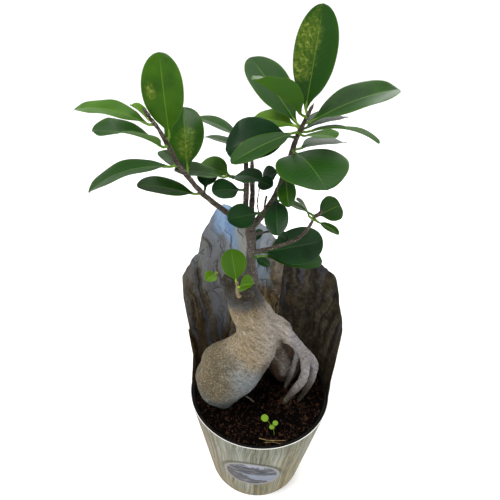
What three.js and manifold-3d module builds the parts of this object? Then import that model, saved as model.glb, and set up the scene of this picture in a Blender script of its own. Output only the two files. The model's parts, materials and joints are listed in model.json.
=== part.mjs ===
// A ginseng ficus bonsai in a nursery pot, wrapped in a printed card sleeve whose back stands up behind it.
// Millimetres, +Z up, the front faces -Y. The origin is the centre of the pot's flat base.
import * as THREE from "three";
import { mergeVertices } from "three/addons/utils/BufferGeometryUtils.js";
import Module from "manifold-3d";

const wasm = await Module();
wasm.setup();

// ---- Driving dimensions ----
const GAP = 0.3; // clearance between pieces that touch in the real plant

const POT_HEIGHT = 98;
const POT_BASE_RADIUS = 43;
const POT_LIP_RADIUS = 60;
const POT_WALL = 1.3;
const POT_FLOOR = 1.8;
const LIP_HEIGHT = 9;
const LIP_OVERHANG = 1.6; // how far the lip stands out from the wall below it
const DRAIN_HOLE_RADIUS = 4;
const DRAIN_HOLE_CIRCLE = 27;
const DRAIN_HOLES = 6;
const ROUND_SEGMENTS = 40;

const SLEEVE_CLEARANCE = 0.4; // between the pot's lip and the card
const CARD = 0.6; // thickness of the card
const SLEEVE_FRONT_HEIGHT = POT_HEIGHT + 1.5; // the level edge at the front
const SLEEVE_FOOT = 1; // the card hangs from the lip and clears the table
const SLEEVE_STEP = 6; // widest facet of the card, in degrees

const SOIL_BELOW_LIP = 4; // at the pot's wall
const SOIL_MOUND = 3.5; // rise of the soil towards the middle
const SOIL_LEVEL = POT_HEIGHT - SOIL_BELOW_LIP;
const PLANT_LIFT = SOIL_LEVEL - 94; // the plant's points are written for soil 94 mm above the base
const SEEDLING_FROM_LIP = 15; // from the front of the pot's lip

const BARK_SIDES = 8;
const TRUNK_SIDES = 14;
const LEAF_THICKNESS = 0.9; // at the midrib
const PETIOLE_RADIUS = 0.8;

// ---- Materials ----
const finish = (color, roughness) => new THREE.MeshStandardMaterial({ color, roughness, metalness: 0 });
const potPlastic = finish(0x17181a, 0.5);
const printedCard = finish(0xb4aa8c, 0.6);
const pottingSoil = finish(0x2a1a10, 1);
const paleBark = finish(0x9a8c78, 0.85);
const twigBark = finish(0x5d5046, 0.85);
const greenShoot = finish(0x8f7a45, 0.7);
const matureLeaf = finish(0x2d5a22, 0.35);
const innerLeaf = finish(0x17422a, 0.4);
const youngLeaf = finish(0x7fa317, 0.4);

// ---- Solids ----
// A closed geometry as a solid that can be joined and cut.
function solidOf(geometry) {
  const bare = geometry.clone();
  bare.deleteAttribute("normal");
  bare.deleteAttribute("uv");
  const merged = mergeVertices(bare, 1e-4);
  return new wasm.Manifold(
    new wasm.Mesh({
      numProp: 3,
      vertProperties: merged.attributes.position.array,
      triVerts: new Uint32Array(merged.index.array),
    }),
  );
}

// A solid as a geometry for a mesh.
function geometryOf(solid) {
  const mesh = solid.getMesh();
  const geometry = new THREE.BufferGeometry();
  geometry.setAttribute("position", new THREE.BufferAttribute(mesh.vertProperties, 3));
  geometry.setIndex(new THREE.BufferAttribute(mesh.triVerts, 1));
  geometry.computeVertexNormals();
  return geometry;
}

// Rings of the same number of points joined into one closed skin. first and last close its ends.
function loft(rings, first, last) {
  const sides = rings[0].length;
  const points = [first, ...rings.flat(), last];
  const at = (ring, side) => 1 + ring * sides + (side % sides);
  const faces = [];
  for (let side = 0; side < sides; side++) {
    faces.push(0, at(0, side + 1), at(0, side));
    faces.push(points.length - 1, at(rings.length - 1, side), at(rings.length - 1, side + 1));
    for (let ring = 0; ring + 1 < rings.length; ring++) {
      faces.push(at(ring, side), at(ring, side + 1), at(ring + 1, side + 1));
      faces.push(at(ring, side), at(ring + 1, side + 1), at(ring + 1, side));
    }
  }
  const geometry = new THREE.BufferGeometry().setFromPoints(points);
  geometry.setIndex(faces);
  return geometry;
}

// A limb is a round member through points [x, y, z, radius], such as a root, a stem or a twig.
class Limb {
  constructor(points, { sides = BARK_SIDES, steps = 2 * (points.length - 1), lift = PLANT_LIFT } = {}) {
    this.radii = points.map((p) => p[3]);
    this.curve = new THREE.CatmullRomCurve3(points.map((p) => new THREE.Vector3(p[0], p[1], p[2] + lift)));
    this.sides = sides;
    this.steps = steps;
  }

  point(t) {
    return this.curve.getPoint(t);
  }

  tangent(t) {
    return this.curve.getTangent(t);
  }

  radius(t) {
    const along = t * (this.radii.length - 1);
    const before = Math.min(Math.floor(along), this.radii.length - 2);
    return THREE.MathUtils.lerp(this.radii[before], this.radii[before + 1], along - before);
  }

  // The limb's closed skin, grown outwards by a clearance.
  geometry(grow = 0) {
    const { sides, steps } = this;
    const rings = [];
    let side = new THREE.Vector3(0, -1, 0.1);
    for (let step = 0; step <= steps; step++) {
      const t = step / steps;
      const centre = this.point(t);
      const along = this.tangent(t);
      side = side.clone().projectOnPlane(along).normalize();
      const other = new THREE.Vector3().crossVectors(along, side);
      const radius = this.radius(t) + grow;
      rings.push(
        Array.from({ length: sides }, (_, i) => {
          const angle = (2 * Math.PI * i) / sides;
          return centre
            .clone()
            .addScaledVector(side, radius * Math.cos(angle))
            .addScaledVector(other, radius * Math.sin(angle));
        }),
      );
    }
    const domed = (t, sign) => {
      const reach = sign * (0.35 * this.radius(t) + grow);
      return this.point(t).addScaledVector(this.tangent(t), reach);
    };
    return loft(rings, domed(0, -1), domed(1, 1));
  }

  solid(grow = 0) {
    return solidOf(this.geometry(grow));
  }
}

const joined = (limbs, grow = 0) => limbs.map((limb) => limb.solid(grow)).reduce((a, b) => a.add(b));

// ---- Pot ----
const taper = (POT_LIP_RADIUS - POT_BASE_RADIUS) / POT_HEIGHT;
const lipLine = (z) => POT_BASE_RADIUS + taper * z; // the cone that the base and the lip both touch
const wallSlope = (POT_LIP_RADIUS - LIP_OVERHANG - POT_BASE_RADIUS) / POT_HEIGHT;
const wallOutside = (z) => POT_BASE_RADIUS + wallSlope * z;
const wallInside = (z) => wallOutside(z) - POT_WALL;

function lathe(profile) {
  const points = profile.map(([r, z]) => new THREE.Vector2(r, z));
  return new THREE.LatheGeometry(points, ROUND_SEGMENTS).rotateX(Math.PI / 2);
}

function nurseryPot() {
  const lipFoot = POT_HEIGHT - LIP_HEIGHT;
  const shell = solidOf(
    lathe([
      [0, 0],
      [POT_BASE_RADIUS, 0],
      [wallOutside(lipFoot), lipFoot],
      [lipLine(lipFoot + 1), lipFoot + 1],
      [POT_LIP_RADIUS, POT_HEIGHT],
      [wallInside(POT_HEIGHT), POT_HEIGHT],
      [wallInside(POT_FLOOR), POT_FLOOR],
      [0, POT_FLOOR],
    ]),
  );
  const drain = new THREE.CylinderGeometry(DRAIN_HOLE_RADIUS, DRAIN_HOLE_RADIUS, 4 * POT_FLOOR, 12).rotateX(
    Math.PI / 2,
  );
  let pot = shell;
  for (let i = 0; i < DRAIN_HOLES; i++) {
    const angle = (2 * Math.PI * i) / DRAIN_HOLES;
    const hole = drain.clone();
    hole.translate(DRAIN_HOLE_CIRCLE * Math.cos(angle), DRAIN_HOLE_CIRCLE * Math.sin(angle), 0);
    pot = pot.subtract(solidOf(hole));
  }
  return geometryOf(pot);
}

// ---- Card sleeve ----
// The top edge as [angle, rise]: degrees round the pot from the back, negative to the left, and millimetres
// above the level front edge. It is level across the front and climbs both sides to a ragged crest like
// broken rock.
const SCREEN_EDGE = [
  [-92, 0],
  [-84, 6],
  [-77, 17],
  [-73, 35],
  [-74, 49],
  [-71, 72],
  [-67, 92],
  [-57, 100],
  [-50, 103],
  [-45, 119],
  [-41, 125],
  [-35, 134],
  [-29, 140],
  [-22, 137],
  [-14, 126],
  [-4, 118],
  [5, 106],
  [15, 99],
  [27, 96],
  [40, 92],
  [52, 89],
  [62, 70],
  [75, 53],
  [81, 32],
  [88, 9],
  [96, 0],
];

const sleeveInside = (z) => lipLine(z) + SLEEVE_CLEARANCE;

function cardSleeve() {
  const stations = [...SCREEN_EDGE, [SCREEN_EDGE[0][0] + 360, 0]];
  const columns = [];
  for (let i = 0; i + 1 < stations.length; i++) {
    const [from, fromRise] = stations[i];
    const [to, toRise] = stations[i + 1];
    const pieces = Math.max(1, Math.ceil(Math.abs(to - from) / SLEEVE_STEP));
    for (let k = 0; k < pieces; k++) {
      const share = k / pieces;
      columns.push([
        THREE.MathUtils.lerp(from, to, share),
        SLEEVE_FRONT_HEIGHT + THREE.MathUtils.lerp(fromRise, toRise, share),
      ]);
    }
  }
  const onCone = (degrees, z, out) => {
    const angle = THREE.MathUtils.degToRad(90 - degrees);
    const radius = sleeveInside(z) + out;
    return new THREE.Vector3(radius * Math.cos(angle), radius * Math.sin(angle), z);
  };
  const points = columns.flatMap(([degrees, top]) => [
    onCone(degrees, SLEEVE_FOOT, 0),
    onCone(degrees, SLEEVE_FOOT, CARD),
    onCone(degrees, top, CARD),
    onCone(degrees, top, 0),
  ]);
  const faces = [];
  for (let i = 0; i < columns.length; i++) {
    for (let k = 0; k < 4; k++) {
      const [a, b] = [4 * i + k, 4 * i + ((k + 1) % 4)];
      const next = (4 * (i + 1)) % points.length;
      const [c, d] = [next + ((k + 1) % 4), next + k];
      faces.push(a, b, c, a, c, d);
    }
  }
  return new THREE.BufferGeometry().setFromPoints(points).setIndex(faces);
}

// ---- Wood: each limb's points are [x, y, z, radius] ----
// The swollen rootstock: one body that leans into a fat lobe at the left, a rear lobe, and roots arching
// down at the right.
const ROOTSTOCK = [
  // trunk and left lobe
  new Limb(
    [
      [-18, 3, 208, 10],
      [-17, 2, 199, 12.5],
      [-12, 0, 186, 15.5],
      [-4, -3, 171, 17.5],
      [-5, -6, 157, 17],
      [-14, -10, 143, 21],
      [-25, -14, 132, 24.5],
      [-31, -16, 121, 22],
      [-32, -17, 109, 16.5],
      [-30, -16, 99, 10],
      [-29, -15, 91, 7],
    ],
    { sides: TRUNK_SIDES },
  ),
  // rear lobe, in the shade behind the roots
  new Limb(
    [
      [0, 3, 165, 14],
      [8, 9, 145, 13],
      [18, 14, 122, 15.5],
      [22, 16, 106, 14],
      [23, 16, 92, 8],
    ],
    { sides: 10 },
  ),
  // root that leaves the shoulder and arches down at the right
  new Limb([
    [1, -2, 177, 10],
    [14, -4, 170, 6.5],
    [26, -7, 161, 4.6],
    [34, -9, 152, 4.2],
    [40, -8, 145, 3.9],
    [44, -6, 136, 3.7],
    [44, -5, 122, 3.4],
    [41, -6, 108, 3.2],
    [35, -11, 98, 3],
    [27, -16, 91, 2.4],
  ]),
  // its inner fork
  new Limb([
    [31, -8, 155, 3.6],
    [35, -13, 147, 3.7],
    [36, -15, 137, 3.6],
    [34, -16, 126, 3.4],
    [29, -16, 115, 3.2],
    [24, -16, 104, 3],
    [20, -17, 91, 2.4],
  ]),
  // a thin root behind the fork
  new Limb([
    [27, -5, 158, 2.4],
    [29, -3, 145, 2.2],
    [28, -2, 130, 2.2],
    [26, -2, 116, 2.4],
    [23, -3, 105, 2.3],
    [21, -4, 92, 2],
  ]),
  // a root that loops over the shoulder
  new Limb([
    [5, 4, 175, 5],
    [14, 5, 172, 3.2],
    [20, 4, 167, 2.9],
    [21, 0, 161, 3.2],
    [18, -3, 157, 3.4],
  ]),
  // the old stem's left stump beside the graft
  new Limb([
    [-22, 2, 198, 8],
    [-28, 2, 207, 6],
    [-32, 1, 214, 4.4],
  ]),
];

const STEM = new Limb([
  [-11, 3, 198, 5.2],
  [-10, 4, 212, 4.3],
  [-12, 4, 226, 3.7],
  [-12, 4, 241, 3.5],
  [-13, 4, 253, 3.8],
  [-13, 5, 262, 3.4],
]);
const LEFT_BRANCH = new Limb([
  [-13, 4, 256, 2.6],
  [-20, 3, 261, 2.5],
  [-29, 1, 268, 2.3],
  [-36, -2, 275, 2.2],
  [-44, -6, 284, 2.1],
  [-52, -11, 297, 2],
  [-57, -14, 306, 1.9],
  [-61, -17, 317, 1.7],
  [-65, -19, 327, 1.5],
  [-70, -20, 335, 1.2],
]);
const RIGHT_BRANCH = new Limb([
  [-13, 5, 256, 2.8],
  [-7, 6, 263, 2.8],
  [-1, 8, 271, 2.6],
  [4, 9, 282, 2.4],
  [7, 10, 291, 2.3],
  [11, 9, 308, 2.1],
  [14, 8, 320, 1.9],
  [17, 7, 328, 1.7],
  [20, 6, 336, 1.3],
]);
const CUT_STUBS = [
  new Limb(
    [
      [-4, 7, 267, 1.3],
      [-4, 5, 273, 1],
      [-3, 3, 281, 1.2],
    ],
    { sides: 6 },
  ),
  new Limb(
    [
      [-7, 6, 264, 1],
      [-9, 5, 274, 0.8],
      [-8, 4, 286, 0.7],
    ],
    { sides: 6 },
  ),
];
const MIDDLE_BRANCH = new Limb([
  [-13, 5, 257, 2.6],
  [-16, 7, 265, 2.4],
  [-17, 8, 272, 2.3],
  [-17, 10, 288, 2.1],
  [-18, 12, 302, 1.8],
  [-20, 13, 318, 1.3],
]);
const BACK_BRANCH = new Limb([
  [-12, 6, 257, 2.4],
  [-13, 11, 265, 2.3],
  [-13, 15, 276, 2.1],
  [-14, 19, 290, 1.8],
  [-15, 23, 305, 1.3],
]);
const SIDE_TWIG = new Limb([
  [-17, 10, 287, 1.3],
  [-22, 7, 290, 1.2],
  [-30, 4, 294, 1],
]);
const LOW_BRANCH = new Limb([
  [-12, 4, 235, 1.9],
  [-7, 2, 238, 1.8],
  [4, -1, 244, 1.7],
  [17, -4, 252, 1.6],
  [24, -6, 260, 1.5],
  [27, -7, 267, 1.4],
  [30, -8, 275, 1.1],
]);
const BACK_TWIG = new Limb([
  [-12, 5, 249, 1.3],
  [-7, 7, 250, 1.2],
  [3, 12, 250, 1.1],
  [13, 18, 246, 0.8],
]);
const FRONT_SHOOT = new Limb([
  [-18, -4, 203, 1.4],
  [-19, -12, 207, 1.3],
  [-20, -15, 213, 1.1],
  [-20, -15, 222, 0.9],
]);
const LEFT_SUCKER = new Limb([
  [-30, 1, 208, 1.6],
  [-35, 0, 216, 1.3],
  [-37, -1, 224, 1.1],
  [-36, -1, 231, 0.8],
]);

// Wood that grows out of other wood is cut back to the gap around it.
const cutBack = (limbs, ...around) => around.reduce((wood, solid) => wood.subtract(solid), joined(limbs));

// ---- Soil ----
const soilTop = (radius) => {
  const edge = wallInside(SOIL_LEVEL);
  return SOIL_LEVEL + SOIL_MOUND * (1 - (radius / edge) ** 2);
};

function soilPlug() {
  const wall = wallInside(SOIL_LEVEL) - GAP;
  const floor = POT_FLOOR + GAP;
  const mound = [0.85, 0.65, 0.4, 0.2].map((share) => [share * wall, soilTop(share * wall)]);
  const plug = lathe([
    [0, floor],
    [wallInside(floor) - GAP, floor],
    [wall, SOIL_LEVEL],
    ...mound,
    [0, soilTop(0)],
  ]);
  return geometryOf(solidOf(plug).subtract(joined(ROOTSTOCK, GAP)));
}

// ---- Seedling: a weed sprout with three round seed leaves ----
function seedling() {
  const [x, y] = [14, SEEDLING_FROM_LIP - POT_LIP_RADIUS];
  const foot = soilTop(Math.hypot(x, y)) + GAP + 0.5;
  const stem = new Limb(
    [
      [x, y, foot, 0.7],
      [x - 1, y, foot + 6, 0.6],
      [x - 5, y + 2, foot + 12, 0.5],
      [x - 8, y + 2, foot + 16, 0.5],
    ],
    { sides: 5, lift: 0 },
  );
  const sidestalk = new Limb(
    [
      [x - 1, y, foot + 6, 0.5],
      [x, y, foot + 10, 0.4],
      [x, y, foot + 14, 0.4],
    ],
    { sides: 5, steps: 2, lift: 0 },
  );
  const seedLeaf = (dx, dy, dz, radius, tilt) =>
    solidOf(
      new THREE.SphereGeometry(radius, 10, 6)
        .scale(1, 0.9, 0.22)
        .rotateX(tilt)
        .translate(x + dx, y + dy, foot + dz),
    );
  const leaves = [
    seedLeaf(-8.5, 2, 17, 3.4, 0.7),
    seedLeaf(-2.5, 0.5, 8.5, 2.4, 0.5),
    seedLeaf(0, 0, 14.5, 2.6, 0.9),
  ];
  return geometryOf(leaves.reduce((a, b) => a.add(b), joined([stem, sidestalk])));
}

// ---- Leaves ----
// The blade's outline: [share of the length, share of the half width].
const BLADE_OUTLINE = [
  [0.05, 0.2],
  [0.17, 0.58],
  [0.33, 0.88],
  [0.5, 1],
  [0.66, 0.98],
  [0.81, 0.82],
  [0.93, 0.52],
];

// One leaf, petiole and blade, standing off its twig by the gap. azimuth is 0 to the right, 90 to the back
// and -90 to the front; rise is above the horizon; roll turns the blade about its own length; bend is how far
// the blade curls down along its length, and fold how far each half tilts up from the midrib, all in degrees.
function leaf(twig, at, { azimuth, rise, roll = 0, length, width, bend = 25, fold = 12, petiole = 5 }) {
  const radians = THREE.MathUtils.degToRad;
  const flat = Math.cos(radians(rise));
  const chord = new THREE.Vector3(
    flat * Math.cos(radians(azimuth)),
    flat * Math.sin(radians(azimuth)),
    Math.sin(radians(rise)),
  );
  const level = new THREE.Vector3(0, 0, 1).projectOnPlane(chord).normalize();
  const up = level.applyAxisAngle(chord, radians(roll));
  const side = new THREE.Vector3().crossVectors(up, chord);
  const heading = (angle) => chord.clone().applyAxisAngle(side, -radians(angle));

  const out = chord.clone().projectOnPlane(twig.tangent(at)).normalize();
  const foot = twig.point(at).addScaledVector(out, twig.radius(at) + GAP);
  const blade = foot
    .clone()
    .addScaledVector(out, 0.35 * petiole)
    .addScaledVector(heading(bend / 2), 0.65 * petiole);
  const knee = foot.clone().addScaledVector(out, 0.4 * petiole);
  const stalk = new THREE.QuadraticBezierCurve3(foot, knee, blade);

  const section = (centre, along, halfWidth, halfThickness, tilt) => {
    const top = up.clone().projectOnPlane(along).normalize();
    const sideways = new THREE.Vector3().crossVectors(top, along);
    const edge = (sign) =>
      centre
        .clone()
        .addScaledVector(sideways, sign * halfWidth * Math.cos(tilt))
        .addScaledVector(top, halfWidth * Math.sin(tilt));
    return [
      edge(1),
      centre.clone().addScaledVector(top, halfThickness),
      edge(-1),
      centre.clone().addScaledVector(top, -halfThickness),
    ];
  };

  const rings = [0, 0.5, 1].map((t) =>
    section(stalk.getPoint(t), stalk.getTangent(t), PETIOLE_RADIUS, PETIOLE_RADIUS * (1 - 0.3 * t), 0),
  );
  const centre = blade.clone();
  let done = 0;
  for (const [share, wide] of [...BLADE_OUTLINE, [1, 0]]) {
    const angle = bend * (0.5 - (done + share) / 2);
    centre.addScaledVector(heading(angle), (share - done) * length);
    done = share;
    if (wide > 0) {
      const thickness = (LEAF_THICKNESS / 2) * (1 - 0.5 * share);
      const along = heading(bend * (0.5 - share));
      rings.push(section(centre, along, (wide * width) / 2, thickness, radians(fold)));
    }
  }
  return loft(rings, foot, centre);
}

// ---- The leaves, twig by twig ----
const MATURE = matureLeaf;
const INNER = innerLeaf;
const YOUNG = youngLeaf;
const LEAVES = {
  left: [
    LEFT_BRANCH,
    [
      ["upright", 0.82, MATURE, { azimuth: 118, rise: 78, roll: -26, length: 42, width: 24, bend: 12 }],
      ["tip_outer", 0.95, MATURE, { azimuth: 170, rise: 5, roll: -12, length: 45, width: 18, bend: 40 }],
      [
        "tip_front",
        0.8,
        MATURE,
        { azimuth: -120, rise: 22, roll: -12, length: 46, width: 21, bend: 30, fold: 25 },
      ],
      ["tip_bud", 0.98, YOUNG, { azimuth: 160, rise: 28, length: 12, width: 8, fold: 35, petiole: 3 }],
      [
        "blotched",
        0.58,
        MATURE,
        { azimuth: 104, rise: 54, roll: -10, length: 38, width: 25, bend: 15, petiole: 4 },
      ],
      ["drooping", 0.67, MATURE, { azimuth: -166, rise: -17, roll: -8, length: 51, width: 22, bend: 50 }],
      ["rear_small", 0.57, MATURE, { azimuth: 142, rise: 22, length: 21, width: 15 }],
      [
        "lower",
        0.46,
        MATURE,
        { azimuth: -168, rise: 12, roll: -15, length: 35, width: 18, bend: 15, petiole: 4 },
      ],
      ["hanging", 0.44, INNER, { azimuth: 86, rise: 25, length: 14, width: 14, petiole: 4 }],
    ],
  ],
  side: [
    SIDE_TWIG,
    [
      [
        "left",
        0.97,
        MATURE,
        { azimuth: -168, rise: 10, roll: -10, length: 31, width: 18, bend: 20, petiole: 4 },
      ],
      ["front", 0.85, INNER, { azimuth: -40, rise: 10, roll: 20, length: 23, width: 15 }],
      ["rear", 0.75, MATURE, { azimuth: 140, rise: -2, roll: -25, length: 30, width: 20 }],
    ],
  ],
  middle: [
    MIDDLE_BRANCH,
    [
      ["tip_left", 0.97, MATURE, { azimuth: 150, rise: 9, length: 37, width: 17, bend: 30 }],
      ["round", 0.53, INNER, { azimuth: -150, rise: 6, roll: -35, length: 19, width: 16, petiole: 4 }],
    ],
  ],
  back: [
    BACK_BRANCH,
    [
      ["left", 0.97, MATURE, { azimuth: 150, rise: 5, roll: 6, length: 36, width: 17 }],
      ["inner", 0.68, INNER, { azimuth: -40, rise: 0, roll: 45, length: 13, width: 11, petiole: 4 }],
    ],
  ],
  right: [
    RIGHT_BRANCH,
    [
      [
        "upright",
        0.98,
        MATURE,
        { azimuth: 60, rise: 80, roll: 26, length: 54, width: 25, bend: 10, petiole: 4 },
      ],
      ["tip_left", 0.84, MATURE, { azimuth: 134, rise: 35, roll: -25, length: 54, width: 25, bend: 12 }],
      [
        "tip_front",
        0.95,
        MATURE,
        { azimuth: -136, rise: 30, roll: 6, length: 43, width: 24, bend: 15, fold: 35 },
      ],
      [
        "tip_right",
        0.9,
        MATURE,
        { azimuth: 22, rise: 16, roll: 20, length: 60, width: 25, bend: 25, fold: 16 },
      ],
      ["rear_right", 0.83, INNER, { azimuth: 45, rise: 2, length: 36, width: 22 }],
      ["outer_right", 0.81, MATURE, { azimuth: 14, rise: -11, roll: -12, length: 50, width: 20, bend: 50 }],
      ["rear_left", 0.82, YOUNG, { azimuth: 138, rise: -6, roll: -30, length: 36, width: 19 }],
      ["front_small", 0.79, MATURE, { azimuth: -55, rise: 12, roll: 10, length: 28, width: 15, bend: 15 }],
      ["lower_rear", 0.66, MATURE, { azimuth: 35, rise: -2, length: 37, width: 20 }],
      [
        "front_left",
        0.79,
        MATURE,
        { azimuth: -146, rise: -17, roll: -15, length: 43, width: 18, bend: 20, fold: 8 },
      ],
      [
        "shaded_left",
        0.74,
        INNER,
        { azimuth: -172, rise: -13, roll: -45, length: 40, width: 29, bend: 55 },
      ],
      [
        "broad",
        0.66,
        MATURE,
        { azimuth: -71, rise: -6, roll: 10, length: 48, width: 41, bend: 30, fold: 8 },
      ],
      [
        "under_front",
        0.53,
        MATURE,
        { azimuth: -83, rise: -28, roll: 20, length: 23, width: 12, petiole: 4 },
      ],
      [
        "under_left",
        0.53,
        INNER,
        { azimuth: 140, rise: -38, roll: -60, length: 16, width: 15, petiole: 4 },
      ],
      ["inner_small", 0.3, INNER, { azimuth: 45, rise: -12, roll: 40, length: 16, width: 12, petiole: 4 }],
      ["foot_front", 0.16, INNER, { azimuth: -140, rise: 4, roll: -50, length: 23, width: 17, petiole: 5 }],
      [
        "inner_hanging",
        0.34,
        INNER,
        { azimuth: -86, rise: -29, roll: 15, length: 27, width: 16, petiole: 4 },
      ],
    ],
  ],
  low: [
    LOW_BRANCH,
    [
      ["tip_rear", 0.96, MATURE, { azimuth: 150, rise: 5, length: 19, width: 9, petiole: 4 }],
      ["tip_left", 0.93, MATURE, { azimuth: -150, rise: 50, roll: -20, length: 17, width: 10, petiole: 4 }],
      ["tip_right", 0.97, MATURE, { azimuth: 38, rise: 8, roll: 45, length: 19, width: 18, petiole: 2 }],
      ["tip_front", 0.93, MATURE, { azimuth: -45, rise: -6, roll: 20, length: 16, width: 6, petiole: 4 }],
    ],
  ],
  stem: [
    STEM,
    [
      [
        "broad",
        0.51,
        INNER,
        { azimuth: 20, rise: 4, roll: 60, length: 44, width: 28, bend: 20, petiole: 9 },
      ],
      ["rear", 0.47, MATURE, { azimuth: 26, rise: -17, roll: 45, length: 52, width: 18, petiole: 9 }],
      ["rear_small", 0.58, INNER, { azimuth: 70, rise: 30, length: 11, width: 7, petiole: 4 }],
      ["right_small", 0.5, INNER, { azimuth: -45, rise: 0, roll: 25, length: 13, width: 7, petiole: 3 }],
    ],
  ],
  twig: [
    BACK_TWIG,
    [["tip", 0.75, INNER, { azimuth: -60, rise: 0, roll: 40, length: 12, width: 8, petiole: 3 }]],
  ],
  shoot: [
    FRONT_SHOOT,
    [
      ["upright", 0.95, YOUNG, { azimuth: 115, rise: 58, length: 22, width: 19, bend: 15, petiole: 3 }],
      [
        "right",
        0.88,
        YOUNG,
        { azimuth: -35, rise: 35, roll: 35, length: 14, width: 14, fold: 25, petiole: 2 },
      ],
    ],
  ],
  sucker: [
    LEFT_SUCKER,
    [
      [
        "left",
        0.5,
        YOUNG,
        { azimuth: -118, rise: 4, roll: -30, length: 11, width: 10, fold: 20, petiole: 2 },
      ],
    ],
  ],
};

// ---- Assembly ----
const bonsai = new THREE.Group();

function place(name, geometry, material) {
  const mesh = new THREE.Mesh(geometry, material);
  mesh.name = name;
  bonsai.add(mesh);
}

place("nursery_pot", nurseryPot(), potPlastic);
place("card_sleeve", cardSleeve(), printedCard);
place("soil", soilPlug(), pottingSoil);
place("root_trunk", geometryOf(joined(ROOTSTOCK)), paleBark);

const trunkSpace = joined(ROOTSTOCK, GAP);
const stemSpace = STEM.solid(GAP);
const leftSpace = LEFT_BRANCH.solid(GAP);
const rightSpace = joined([RIGHT_BRANCH, ...CUT_STUBS], GAP);
const middleSpace = MIDDLE_BRANCH.solid(GAP);
place("stem", geometryOf(cutBack([STEM], trunkSpace)), twigBark);
place("left_branch", geometryOf(cutBack([LEFT_BRANCH], stemSpace)), twigBark);
place("right_branch", geometryOf(cutBack([RIGHT_BRANCH, ...CUT_STUBS], stemSpace, leftSpace)), twigBark);
place("middle_branch", geometryOf(cutBack([MIDDLE_BRANCH], stemSpace, leftSpace, rightSpace)), twigBark);
const otherSpace = [stemSpace, leftSpace, rightSpace, middleSpace];
place("back_branch", geometryOf(cutBack([BACK_BRANCH], ...otherSpace)), twigBark);
place("side_twig", geometryOf(cutBack([SIDE_TWIG], middleSpace)), twigBark);
place("low_branch", geometryOf(cutBack([LOW_BRANCH], stemSpace)), twigBark);
place("back_twig", geometryOf(cutBack([BACK_TWIG], stemSpace, rightSpace)), twigBark);
place("front_shoot", geometryOf(cutBack([FRONT_SHOOT], trunkSpace)), greenShoot);
place("left_sucker", geometryOf(cutBack([LEFT_SUCKER], trunkSpace)), twigBark);
place("seedling", seedling(), youngLeaf);

for (const [where, [twig, leaves]] of Object.entries(LEAVES)) {
  for (const [name, at, material, shape] of leaves) {
    place(`leaf_${where}_${name}`, leaf(twig, at, shape), material);
  }
}

export default bonsai;
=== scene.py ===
"""Looks of a ginseng ficus bonsai in a nursery pot and a printed card sleeve.

Metres, +Z up, the front faces -Y.
"""

import json
import math
import random

import bmesh
import bpy
import numpy as np
from mathutils import Matrix, Vector, noise


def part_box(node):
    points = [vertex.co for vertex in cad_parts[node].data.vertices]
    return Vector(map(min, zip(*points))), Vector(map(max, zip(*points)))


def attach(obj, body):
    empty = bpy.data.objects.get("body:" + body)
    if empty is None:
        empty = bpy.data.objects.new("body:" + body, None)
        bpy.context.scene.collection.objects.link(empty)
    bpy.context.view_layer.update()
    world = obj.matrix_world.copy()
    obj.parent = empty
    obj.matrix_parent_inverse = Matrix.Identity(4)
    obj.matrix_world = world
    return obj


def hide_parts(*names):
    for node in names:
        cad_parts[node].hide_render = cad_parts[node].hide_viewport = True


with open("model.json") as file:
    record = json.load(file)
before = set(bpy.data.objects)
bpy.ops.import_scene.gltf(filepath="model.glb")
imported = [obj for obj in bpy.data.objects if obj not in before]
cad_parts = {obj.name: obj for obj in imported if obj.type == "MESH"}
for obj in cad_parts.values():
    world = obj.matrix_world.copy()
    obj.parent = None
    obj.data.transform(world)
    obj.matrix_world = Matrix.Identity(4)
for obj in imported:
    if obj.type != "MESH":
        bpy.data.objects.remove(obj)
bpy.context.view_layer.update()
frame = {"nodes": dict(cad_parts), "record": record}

MM = 0.001
DECIMETRE = 0.1
UP = Vector((0, 0, 1))


# ---- Shader building ----
class Value:
    """A shader socket that takes part in Python arithmetic."""

    def __init__(self, shader, socket):
        self.shader = shader
        self.socket = socket

    def __add__(self, other):
        return self.shader.math("ADD", self, other)

    def __sub__(self, other):
        return self.shader.math("SUBTRACT", self, other)

    def __mul__(self, other):
        return self.shader.math("MULTIPLY", self, other)

    def __truediv__(self, other):
        return self.shader.math("DIVIDE", self, other)

    def __rsub__(self, other):
        return self.shader.math("SUBTRACT", other, self)

    def __abs__(self):
        return self.shader.math("ABSOLUTE", self)

    __radd__ = __add__
    __rmul__ = __mul__


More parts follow.
